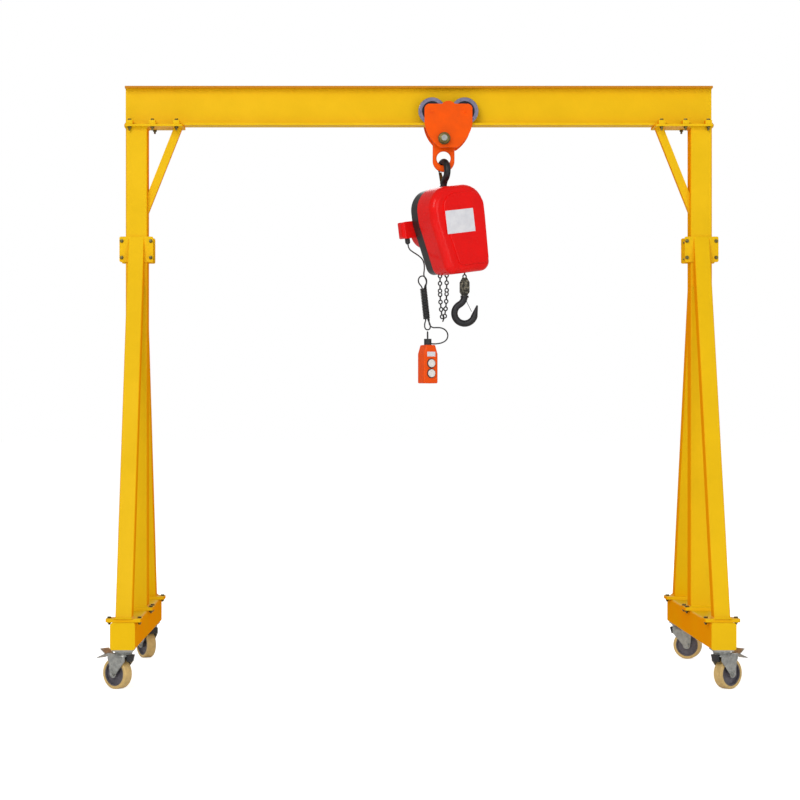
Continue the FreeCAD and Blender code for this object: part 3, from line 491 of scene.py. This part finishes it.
class GANTRY_OT_frame(bpy.types.Operator):
    """Give the frame its enamel and add its bolts, clips and welds"""
    bl_idname = "gantry.frame"
    bl_label = "Frame"

    def execute(self, context):
        sizes = context.scene.gantry_sizes
        made = make_finishes(context.scene.gantry_colours)
        made["bolt_yellow"] = make_bolt_yellow()
        made["plate_white"] = make_plate_white()
        for key, material in made.items():
            FINISH_NAMES[key] = material.name
        for row in frame["record"]["subparts"]:
            coat([row["node"]], finish(row["material_slot"]))
        self.add_pad_bolts(sizes)
        self.add_clamp_bolts(sizes)
        self.add_clips(sizes)
        self.add_welds(sizes)
        return {"FINISHED"}

    def add_pad_bolts(self, sizes):
        """Bolts through the pads at the feet of the legs and columns."""
        size = sizes.bolt_size
        places = []
        nuts = []
        for side in ("left", "right"):
            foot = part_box("column_" + side)
            middle = (foot[0].x + foot[1].x) / 2
            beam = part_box("base_beam_" + side)
            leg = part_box("front_leg_" + side)
            pad_top = foot[0].z + PAD_THICK * MM
            leg_y = leg[0].y + LEG_BOLT_Y * MM
            for dx in (-PAD_BOLT_X * MM, PAD_BOLT_X * MM):
                for y in (-COLUMN_BOLT_Y * MM, COLUMN_BOLT_Y * MM, leg_y, -leg_y):
                    places.append(pointing((middle + dx, y, pad_top), (0, 0, 1), 0.3))
                    under = beam[1].z - PAD_THICK * MM
                    nuts.append(pointing((middle + dx, y, under), (0, 0, -1), 0.1))
        heads = copies(join(hex_head(size)), places)
        below = copies(join(hex_head(size, 0.8) + stud_end(size, size * 0.6, size * 0.95)), nuts)
        settle(join(heads + below), "pad_bolts", finish("bolt_yellow"), "frame")

    def add_clamp_bolts(self, sizes):
        """Long bolts that pull the front and rear collars together round each column."""
        size = sizes.clamp_bolt_size
        places = []
        rods = []
        for side in ("left", "right"):
            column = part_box("column_" + side)
            middle = (column[0].x + column[1].x) / 2
            reach = CLAMP_Y * MM
            for dx in (-CLAMP_X * MM, CLAMP_X * MM):
                for z in CLAMP_HEIGHTS:
                    for way in (-1, 1):
                        places.append(pointing((middle + dx, way * reach, z), (0, way, 0), 0.2))
                    rods.append(pointing((middle + dx, -reach, z), (0, 1, 0)))
        heads = copies(join(hex_head(size, 0.75) + stud_end(size, size * 0.5, size * 0.9)), places)
        bars = copies(new_round(size / 2, 2 * CLAMP_Y * MM, 14), rods)
        settle(join(heads + bars), "clamp_bolts", finish("bolt_yellow"), "frame")

    def add_clips(self, sizes):
        """Clips that hold the girder's lower flange down on the head plates, with their bolts."""
        size = sizes.bolt_size
        half = CLIP_HALF_WIDTH * MM
        top = CLIP_TOP * MM
        step = CLIP_STEP * MM
        clips = []
        places = []
        nuts = []
        for side, sign in (("left", -1), ("right", 1)):
            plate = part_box("head_plate_" + side)
            for x in CLIP_AT:
                for way in (-1, 1):
                    clip = new_block(-half, half, -CLIP_BACK * MM, -CLIP_SHOULDER * MM, 0, top)
                    select_faces(clip, lambda centre, normal: normal.y > 0.9)
                    bpy.ops.mesh.bisect(plane_co=(0, 0, step), plane_no=(0, 0, 1))
                    bpy.ops.object.mode_set(mode="OBJECT")
                    lip = new_block(-half, half, -(CLIP_SHOULDER + 1) * MM, -CLIP_TIP * MM, step, top)
                    body = join([clip, lip])
                    turned = Matrix.Rotation(0 if way < 0 else math.pi, 4, "Z")
                    at = Matrix.Translation((sign * x, 0, plate[1].z))
                    body.data.transform(at @ turned)
                    clips.append(body)
                    y = way * CLIP_BOLT_Y * MM
                    places.append(pointing((sign * x, y, plate[1].z + top), (0, 0, 1), 0.2))
                    nuts.append(pointing((sign * x, y, plate[0].z), (0, 0, -1), 0.4))
        whole = join(clips)
        bpy.ops.object.modifier_add(type="BEVEL")
        whole.modifiers[-1].width = CLIP_ROUND * MM
        whole.modifiers[-1].segments = 2
        bpy.ops.object.modifier_apply(modifier=whole.modifiers[-1].name)
        settle(whole, "girder_clips", finish("yellow_paint"), "frame")
        heads = copies(join(hex_head(size)), places)
        below = copies(join(hex_head(size, 0.8) + stud_end(size, size * 1.1, size * 0.95)), nuts)
        settle(join(heads + below), "clip_bolts", finish("bolt_yellow"), "frame")

    def add_welds(self, sizes):
        """Fillet welds round the feet and heads of the tubes."""
        width = sizes.weld_size
        rings = []
        for side in ("left", "right"):
            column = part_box("column_" + side)
            middle = (column[0].x + column[1].x) / 2
            half = COLUMN_HALF * MM
            foot_z = column[0].z + PAD_THICK * MM
            head_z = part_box("head_plate_" + side)[0].z
            rings.append(self.weld_ring((middle, 0, foot_z), half, half, width, 1))
            rings.append(self.weld_ring((middle, 0, head_z), half, half, width, -1))
            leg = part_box("front_leg_" + side)
            for way in (-1, 1):
                centre = (middle, way * (abs(leg[0].y) - LEG_HALF_Y * MM), foot_z)
                rings.append(self.weld_ring(centre, LEG_HALF_X * MM, LEG_HALF_Y * MM, width, 1))
        settle(join(rings), "welds", finish("yellow_paint"), "frame", 60.0)

    def weld_ring(self, centre, half_x, half_y, width, way):
        """A triangular bead round a rectangle, with ripples along its face."""
        start_fresh()
        bpy.ops.mesh.primitive_circle_add(vertices=4, radius=1.0, fill_type="NOTHING")
        ring = bpy.context.object
        mesh = bmesh.new()
        rows = []
        for side in range(4):
            a = ((1, 1), (-1, 1), (-1, -1), (1, -1))[side]
            b = ((-1, 1), (-1, -1), (1, -1), (1, 1))[side]
            for i in range(WELD_RIPPLES):
                t = i / WELD_RIPPLES
                x = (a[0] + (b[0] - a[0]) * t) * half_x
                y = (a[1] + (b[1] - a[1]) * t) * half_y
                swell = 1.0 + RIPPLE[i % 2]
                out = Vector((x / half_x if abs(abs(x) - half_x) < 1e-9 else 0,
                              y / half_y if abs(abs(y) - half_y) < 1e-9 else 0, 0)).normalized()
                foot = Vector((x, y, 0)) + out * width * swell
                rise = Vector((x, y, way * width * swell))
                bulge = Vector((x, y, way * width * 0.42 * swell)) + out * width * 0.62 * swell
                inner = Vector((x, y, 0)) - out * 0.5 * MM
                rows.append([mesh.verts.new(p) for p in (inner, foot, bulge, rise)])
        count = len(rows)
        for i in range(count):
            here, ahead = rows[i], rows[(i + 1) % count]
            for k in range(4):
                mesh.faces.new((here[k], ahead[k], ahead[(k + 1) % 4], here[(k + 1) % 4]))
        bmesh.ops.recalc_face_normals(mesh, faces=mesh.faces)
        mesh.to_mesh(ring.data)
        mesh.free()
        ring.data.transform(Matrix.Translation(Vector(centre)))
        return ring


# ---------------------------------------------------------------- the casters
# in a caster's own frame, in millimetres, +X the way that its wheel trails: the lock block's low and
# high x, y and z, and the axle's place and the reach of its ends to either side
LOCK_BLOCK = (-52, -33, -24, 24, 136, 170)
AXLE_X = 42
AXLE_Z = 75
AXLE_REACH = 42
AXLE_THREAD = 14
AXLE_OUT = 4


class GANTRY_OT_casters(bpy.types.Operator):
    """Add the casters' lock blocks and the threaded ends of their axles"""
    bl_idname = "gantry.casters"
    bl_label = "Casters"

    def execute(self, context):
        for corner in CORNERS:
            pivot = JOINT["swivel_" + corner]["pos_m"]
            place = Matrix.Translation((pivot[0], pivot[1], 0)) @ Matrix.Rotation(
                math.radians(HEADING[corner]), 4, "Z")
            wedge = new_block(*[edge * MM for edge in LOCK_BLOCK])
            select_faces(wedge, lambda centre, normal: normal.z < -0.9)
            bpy.ops.transform.resize(value=(0.45, 0.9, 1.0))
            bpy.ops.transform.translate(value=(4 * MM, 0, 0))
            bpy.ops.object.mode_set(mode="OBJECT")
            round_edges(1.5 * MM)
            wedge.data.transform(place)
            settle(wedge, "lock_block_" + corner, finish("black_plastic"),
                   "caster_swivel_" + corner)
            ends = []
            for way in (-1, 1):
                end = (AXLE_X * MM, way * AXLE_REACH * MM, AXLE_Z * MM)
                ends.append(place @ pointing(end, (0, way, 0), 0.2))
            caps = copies(join(stud_end(AXLE_THREAD * MM, AXLE_OUT * MM, 0)), ends)
            settle(join(caps), "axle_ends_" + corner, finish("zinc_steel"),
                   "caster_swivel_" + corner)
        return {"FINISHED"}


# ---------------------------------------------------------------- the trolley
# the tie bar's thread, and its nuts' seats from the girder's middle, in millimetres
TIE_THREAD = 30
TIE_NUT_Y = 90


class GANTRY_OT_trolley(bpy.types.Operator):
    """Add the nuts on the trolley's tie bar"""
    bl_idname = "gantry.trolley"
    bl_label = "Trolley"

    def execute(self, context):
        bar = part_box("trolley_tie_bar")
        centre = (bar[0] + bar[1]) / 2
        nuts = [pointing((centre.x, way * TIE_NUT_Y * MM, centre.z), (0, way, 0), 0.25)
                for way in (-1, 1)]
        whole = join(copies(join(hex_head(TIE_THREAD * MM, 0.6)), nuts))
        settle(whole, "tie_bar_nuts", finish("bolt_yellow"), "trolley")
        return {"FINISHED"}


# ---------------------------------------------------------------- the hoist
# where the hoist's crown lies from the point that it swings about, in millimetres, and its turn
HOIST_FORWARD = 51.0
CROWN_DROP = 96.5
HOIST_YAW = 30.0
HOIST_ROLL = -8.0
# the point of the hoist's own frame where the cable leaves its gland
GLAND_NOSE = (-158, 157, -269)
# in the same frame, the face that the nameplate lies on and the plate's middle
PLATE_FACE = -104
PLATE_MIDDLE = (7, 0, -184)


def hang_point(x, y, z):
    """A point beside or below the hoist, in millimetres from its crown, in metres."""
    pivot = Vector(JOINT["hoist_swing"]["pos_m"])
    return pivot + Vector((x, y - HOIST_FORWARD, z - CROWN_DROP)) * MM


def hoist_place():
    """The matrix from the hoist's own frame to where it hangs."""
    return (Matrix.Translation(hang_point(0, 0, 0)) @ Matrix.Rotation(math.radians(HOIST_YAW), 4, "Z")
            @ Matrix.Rotation(math.radians(HOIST_ROLL), 4, "Y"))


class GANTRY_OT_hoist(bpy.types.Operator):
    """Add the hoist's blank nameplate"""
    bl_idname = "gantry.hoist"
    bl_label = "Hoist"

    def execute(self, context):
        sizes = context.scene.gantry_sizes
        face = PLATE_FACE * MM
        half = sizes.plate_width / 2
        plate = new_block(-half, half, face - 1.2 * MM, face + 0.4 * MM, -sizes.plate_height / 2,
                          sizes.plate_height / 2)
        round_edges(0.5 * MM, 1)
        plate.data.transform(hoist_place() @ Matrix.Translation(Vector(PLATE_MIDDLE) * MM))
        settle(plate, "nameplate_blank", finish("plate_white"), "hoist")
        return {"FINISHED"}


# ---------------------------------------------------------------- the hooks
# the top hook's turn, and its bowl's centre below the point that it swings about, in millimetres
TOP_HOOK_YAW = 22.0
TOP_HOOK_DROP = 12.0
# the load hook's bowl below its swivel, and its latch's root and tip from the bowl's centre
LOAD_HOOK_DROP = math.sqrt(3) * 52 + 0.3
LOAD_LATCH = ((9, 0, 63), (36, 0, 8))
LOAD_LATCH_WIDTH = 13
# the top hook's latch: how far out and how far down its root and its tip lie
TOP_LATCH = ((14, 62), (44, 2))
TOP_LATCH_WIDTH = 24


class GANTRY_OT_latches(bpy.types.Operator):
    """Add the sprung latches that close the hooks' mouths"""
    bl_idname = "gantry.latches"
    bl_label = "Hook latches"

    def execute(self, context):
        sizes = context.scene.gantry_sizes
        top = Vector(JOINT["load_hook_swivel"]["pos_m"])
        centre = top - Vector((0, 0, LOAD_HOOK_DROP * MM))
        root, tip = [centre + Vector(end) * MM for end in LOAD_LATCH]
        latch = self.make_latch(root, tip, Vector((0, 1, 0)), LOAD_LATCH_WIDTH * MM,
                                sizes.latch_thickness)
        settle(latch, "load_hook_latch", finish("black_forging"), "load_hook")
        yaw = math.radians(TOP_HOOK_YAW)
        out = Vector((-math.sin(yaw), math.cos(yaw), 0))
        centre = Vector(JOINT["hoist_swing"]["pos_m"]) - Vector((0, 0, TOP_HOOK_DROP * MM))
        root, tip = [centre + out * reach * MM - Vector((0, 0, fall * MM)) for reach, fall in TOP_LATCH]
        across = Vector((0, 0, 1)).cross(out)
        latch = self.make_latch(root, tip, across, TOP_LATCH_WIDTH * MM, sizes.latch_thickness)
        settle(latch, "top_hook_latch", finish("bolt_yellow"), "hoist")
        return {"FINISHED"}

    def make_latch(self, root, tip, across, width, thick):
        """A pressed strip with a hinge roll at its root, tapering to the hook's tip."""
        way = (tip - root).normalized()
        strip = new_block(-thick / 2, thick / 2, -width / 2, width / 2, 0, (tip - root).length)
        select_faces(strip, lambda centre, normal: normal.z > 0.9)
        bpy.ops.transform.resize(value=(1.0, 0.7, 1.0))
        bpy.ops.object.mode_set(mode="OBJECT")
        round_edges(thick * 0.2, 1)
        roll = new_round(thick * 1.6, width * 1.1, 16, -width * 0.55)
        round_edges(thick * 0.2, 1)
        roll.data.transform(Matrix.Rotation(math.radians(90), 4, "X"))
        latch = join([strip, roll])
        turn = Matrix((across.cross(way), across, way)).transposed().to_4x4()
        latch.data.transform(Matrix.Translation(root) @ turn)
        return latch


# ---------------------------------------------------------------- the chains
def new_link(wire, pitch):
    """One link of round-link chain along +Z, with straight sides, centred on the origin."""
    start_fresh()
    ring = wire * 1.2
    bpy.ops.mesh.primitive_torus_add(major_radius=ring, minor_radius=wire / 2, major_segments=16,
                                     minor_segments=8, rotation=(math.pi / 2, 0, 0))
    bpy.ops.object.transform_apply(location=True, rotation=True, scale=True)
    link = bpy.context.object
    stretch = (pitch + wire - 2 * ring - wire) / 2
    for way in (-1, 1):
        select_vertices(link, lambda place: place.z * way > 0.1 * wire)
        bpy.ops.transform.translate(value=(0, 0, way * stretch))
    bpy.ops.object.mode_set(mode="OBJECT")
    return link


def chain_along(points, wire, pitch):
    """Links laid along a line of points, each turned a quarter from the last."""
    places = []
    turn = 0
    carried = 0.0
    for a, b in zip(points, points[1:]):
        run = b - a
        while carried + pitch / 2 <= run.length:
            at = a + run.normalized() * (carried + pitch / 2)
            places.append(pointing(at, run, turn * math.pi / 2))
            carried += pitch
            turn += 1
        carried -= run.length
    return join(copies(new_link(wire, pitch), places))


# how far the load chain's last link reaches into the block, in millimetres
BLOCK_REACH = 4
# the slack chain's lowest link above its bar's foot and half the gap between its runs, in
# millimetres, and its line: across in half gaps, and up in shares of its height
SLACK_LIFT = 8
SLACK_SPREAD = 17
SLACK_LINE = ((-1.0, 1.0), (-1.0, 0.6), (-0.8, 0.32), (-0.42, 0.08), (0.0, 0.0), (0.42, 0.08),
              (0.8, 0.32), (1.0, 0.6), (1.0, 1.0))


class GANTRY_OT_chains(bpy.types.Operator):
    """Replace the plain chain bars with links"""
    bl_idname = "gantry.chains"
    bl_label = "Chains"

    def execute(self, context):
        sizes = context.scene.gantry_sizes
        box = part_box("load_chain")
        middle = (box[0] + box[1]) / 2
        foot = box[0].z - BLOCK_REACH * MM
        points = [Vector((middle.x, middle.y, height)) for height in (foot, box[1].z)]
        chain = chain_along(points, sizes.chain_wire, sizes.chain_pitch)
        settle(chain, "load_chain_links", finish("chain_steel"), "hoist", 60.0)
        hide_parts("load_chain")
        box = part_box("slack_chain")
        middle = (box[0] + box[1]) / 2
        spread = SLACK_SPREAD * MM
        low = box[0].z + SLACK_LIFT * MM
        points = [Vector((middle.x + u * spread, middle.y, low + v * (box[1].z - low)))
                  for u, v in SLACK_LINE]
        chain = chain_along(points, sizes.chain_wire, sizes.chain_pitch)
        settle(chain, "slack_chain_links", finish("chain_steel"), "hoist", 60.0)
        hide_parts("slack_chain")
        return {"FINISHED"}


# ---------------------------------------------------------------- the cable
# the free cable from the gland under the terminal box to the hank's eye
UPPER_ROUTE = [(-158, 66, -328), (-129, 47, -347), (-108, 20, -369), (-101, -11, -395),
               (-101, -39, -423), (-106, -56, -456)]
# the last loop: out of the hank, round to the right, and over behind the hand control into it
LOWER_ROUTE = [(-78, -58, -682), (-78, -65, -706), (-62, -69, -722.5), (-38, -71, -721),
               (-12, -70, -723), (10, -69, -737), (19, -67, -762), (10, -63, -786),
               (-13, -58, -799), (-38, -47, -803), (-62, -31, -803), (-78, -13, -797),
               (-84, -4, -777), (-84.5, -5, -756), (-84.5, -19.9, -741.5),
               (-84.5, -41.1, -741.5), (-84.5, -56, -756.4)]
# the cable's last point, inside the hand control's gland
CONTROL_END = (-84.5, -56, -778)
HANK_TOP = (-107, -56, -519)
HANK_BOTTOM = (-89, -56, -685)
# the straight lead out of the hoist's gland and the hank's winding radius, in millimetres
GLAND_LEAD = 22
WINDING_RADIUS = 14.9
POINTS_PER_TURN = 12


class GANTRY_OT_cable(bpy.types.Operator):
    """Lay the hand control's cable and wind its hank"""
    bl_idname = "gantry.cable"
    bl_label = "Cable"

    def execute(self, context):
        sizes = context.scene.gantry_sizes
        exit_at, exit_way = self.gland_exit()
        points = [exit_at, exit_at + exit_way * GLAND_LEAD * MM]
        points += [hang_point(*p) for p in UPPER_ROUTE]
        points += self.hank_points(sizes.hank_turns)
        points += [hang_point(*p) for p in LOWER_ROUTE]
        points.append(hang_point(*CONTROL_END))
        curve = bpy.data.curves.new("pendant_lead", "CURVE")
        curve.dimensions = "3D"
        curve.bevel_depth = sizes.cable_diameter / 2
        curve.bevel_resolution = 3
        curve.use_fill_caps = True
        spline = curve.splines.new("NURBS")
        spline.points.add(len(points) - 1)
        for place, point in zip(points, spline.points):
            point.co = (*place, 1.0)
        spline.order_u = 3
        spline.use_endpoint_u = True
        spline.resolution_u = 6
        cable = bpy.data.objects.new("pendant_lead", curve)
        bpy.context.scene.collection.objects.link(cable)
        curve.materials.append(finish("cable_rubber"))
        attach(cable, "hoist")
        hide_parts("pendant_cable", "cable_hank")
        return {"FINISHED"}

    def gland_exit(self):
        """Where the cable leaves the hoist's gland, and which way."""
        place = hoist_place()
        nose = place @ (Vector(GLAND_NOSE) * MM)
        way = (place.to_3x3() @ Vector((0, 0, -1))).normalized()
        return nose, way

    def hank_points(self, turns):
        """Down the core, round the fold, up the core, over the eye, and down in turns."""
        top, bottom = hang_point(*HANK_TOP), hang_point(*HANK_BOTTOM)
        along = (bottom - top).normalized()
        out = Vector((0, 1, 0))
        across = along.cross(out).normalized()
        down = (bottom - top).length / MM

        def at(u, v, w=0.0):
            """u to the right and v down from the hank's top, w to the back, in millimetres."""
            return top + across * u * MM + along * v * MM + out * w * MM

        points = [at(17, -44), at(20, -24), at(8, -8), at(4, 12)]
        points += [at(4, down * 0.33), at(4, down * 0.66), at(4, down - 4), at(13, down + 14)]
        points += [at(15, down + 34), at(8, down + 47), at(-8, down + 47), at(-15, down + 34)]
        points += [at(-13, down + 14), at(-4, down - 4), at(-4, down * 0.66), at(-4, down * 0.33)]
        points += [at(-4, 12), at(-8, -8), at(-20, -24), at(-22, -44), at(-10, -60), at(8, -60, -3)]
        points += [at(20, -44, -8), at(20, -24, -10), at(14, -10, -10)]
        pitch = (down - 10) / turns
        for i in range(turns * POINTS_PER_TURN + 1):
            angle = 2 * math.pi * i / POINTS_PER_TURN - 0.6
            v = 2 + pitch * i / POINTS_PER_TURN
            points.append(at(WINDING_RADIUS * math.cos(angle), v, WINDING_RADIUS * math.sin(angle)))
        return points


# ---------------------------------------------------------------- the hand control
# the hand control's turn in degrees, and in millimetres its front from its middle, its height, its
# label's half width, foot and top, and the guards' radius and thickness
CONTROL_YAW = 30
CONTROL_FACE = -33
CONTROL_HEIGHT = 195
LABEL = (24, 136, 160)
GUARD_RADIUS = 22
GUARD_WIRE = 2.6
# how high up the hand control each button sits, as a share of its height
BUTTONS_AT = (0.26, 0.52)


class GANTRY_OT_control(bpy.types.Operator):
    """Add the hand control's blank label and button guards"""
    bl_idname = "gantry.control"
    bl_label = "Hand control"

    def execute(self, context):
        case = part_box("pendant_case")
        base = Vector(((case[0].x + case[1].x) / 2, (case[0].y + case[1].y) / 2, case[0].z))
        place = Matrix.Translation(base) @ Matrix.Rotation(math.radians(CONTROL_YAW), 4, "Z")
        face = CONTROL_FACE * MM
        half, foot, top = [measure * MM for measure in LABEL]
        label = new_block(-half, half, face - 0.8 * MM, face + 0.3 * MM, foot, top)
        round_edges(0.3 * MM, 1)
        label.data.transform(place)
        settle(label, "control_label_blank", finish("plate_white"), "hoist")
        rings = []
        for share in BUTTONS_AT:
            height = CONTROL_HEIGHT * share
            start_fresh()
            bpy.ops.mesh.primitive_torus_add(major_radius=GUARD_RADIUS * MM,
                                             minor_radius=GUARD_WIRE * MM,
                                             major_segments=40, minor_segments=10,
                                             rotation=(math.pi / 2, 0, 0),
                                             location=(0, face - 1 * MM, height * MM))
            bpy.ops.object.transform_apply(location=True, rotation=True, scale=True)
            rings.append(bpy.context.object)
        whole = join(rings)
        whole.data.transform(place)
        settle(whole, "button_guards", finish("black_plastic"), "hoist", 60.0)
        return {"FINISHED"}


# ---------------------------------------------------------------- the stage
# each light's place, side in metres and power in watts
LIGHTS = {"key": ((-3.5, -9.0, 6.0), 5.0, 400.0),
          "fill": ((5.0, -9.0, 3.0), 5.0, 170.0),
          "back": ((1.0, 9.0, 6.5), 6.0, 220.0)}
# how bright the world is on the crane, and how much the floor is lifted where the camera sees it
WORLD_LIGHT = 0.45
FLOOR_LIFT = 0.62
CAMERA_PLACE = (-0.341, -11.43, 1.332)
CAMERA_LENS = 100.4
CAMERA_SHIFT = (0.06, 0.016)


class GANTRY_OT_stage(bpy.types.Operator):
    """Add the floor, the lights and the camera"""
    bl_idname = "gantry.stage"
    bl_label = "Stage"

    def execute(self, context):
        scene = context.scene
        start_fresh()
        bpy.ops.mesh.primitive_circle_add(vertices=96, radius=90.0, fill_type="NGON",
                                          location=(0, 0, 0))
        floor = context.object
        floor.name = "floor"
        material = bpy.data.materials.new("floor_pale")
        material.use_nodes = True
        shader = material.node_tree.nodes["Principled BSDF"]
        shader.inputs["Base Color"].default_value = (0.92, 0.92, 0.92, 1.0)
        shader.inputs["Roughness"].default_value = 0.9
        shader.inputs["Emission Color"].default_value = (1.0, 1.0, 1.0, 1.0)
        seen = add_node(material.node_tree, "ShaderNodeLightPath").outputs["Is Camera Ray"]
        lift = add_node(material.node_tree, "ShaderNodeMapRange", None,
                        {"Value": seen, "To Min": 0.0, "To Max": FLOOR_LIFT})
        material.node_tree.links.new(lift.outputs["Result"], shader.inputs["Emission Strength"])
        floor.data.materials.append(material)
        world = bpy.data.worlds.new("studio")
        scene.world = world
        world.use_nodes = True
        tree = world.node_tree
        backdrop = tree.nodes["Background"]
        backdrop.inputs["Color"].default_value = (1.0, 1.0, 1.0, 1.0)
        ray = add_node(tree, "ShaderNodeLightPath")
        level = add_node(tree, "ShaderNodeMapRange", None,
                         {"Value": ray.outputs["Is Camera Ray"], "To Min": WORLD_LIGHT,
                          "To Max": 1.0})
        tree.links.new(level.outputs["Result"], backdrop.inputs["Strength"])
        for name, (place, size, power) in LIGHTS.items():
            self.add_light(name, place, size, power)
        bpy.ops.object.camera_add(location=CAMERA_PLACE, rotation=(math.radians(90), 0, 0))
        camera = context.object
        camera.name = "camera"
        camera.data.lens = CAMERA_LENS
        camera.data.sensor_width = 36.0
        camera.data.shift_x = CAMERA_SHIFT[0]
        camera.data.shift_y = CAMERA_SHIFT[1]
        camera.data.clip_end = 300.0
        scene.camera = camera
        scene.view_settings.view_transform = "Standard"
        return {"FINISHED"}

    def add_light(self, name, place, size, power):
        """A square area light aimed at the middle of the crane."""
        start_fresh()
        way = Vector((0, 0, 1.5)) - Vector(place)
        bpy.ops.object.light_add(type="AREA", location=place,
                                 rotation=way.to_track_quat("-Z", "Y").to_euler())
        light = bpy.context.object
        light.name = name
        light.data.size = size
        light.data.energy = power


# ---------------------------------------------------------------- the add-on
STEPS = (GANTRY_OT_frame, GANTRY_OT_casters, GANTRY_OT_trolley, GANTRY_OT_hoist, GANTRY_OT_latches,
         GANTRY_OT_chains, GANTRY_OT_control, GANTRY_OT_cable, GANTRY_OT_stage)


class GANTRY_PT_sidebar(bpy.types.Panel):
    """The crane's pieces, sizes and colours"""
    bl_idname = "GANTRY_PT_sidebar"
    bl_label = "Gantry crane"
    bl_space_type = "VIEW_3D"
    bl_region_type = "UI"
    bl_category = "Gantry"

    def draw(self, context):
        layout = self.layout
        for step in STEPS:
            layout.operator(step.bl_idname)
        for group in (context.scene.gantry_sizes, context.scene.gantry_colours):
            column = layout.column()
            for name in group.__annotations__:
                column.prop(group, name)


CLASSES = (GantrySizes, GantryColours, *STEPS, GANTRY_PT_sidebar)


def register():
    for item in CLASSES:
        bpy.utils.register_class(item)
    bpy.types.Scene.gantry_sizes = bpy.props.PointerProperty(type=GantrySizes)
    bpy.types.Scene.gantry_colours = bpy.props.PointerProperty(type=GantryColours)


def unregister():
    del bpy.types.Scene.gantry_colours
    del bpy.types.Scene.gantry_sizes
    for item in reversed(CLASSES):
        bpy.utils.unregister_class(item)


def main():
    register()
    for step in STEPS:
        group, name = step.bl_idname.split(".")
        getattr(getattr(bpy.ops, group), name)()


if __name__ == "__main__":
    main()
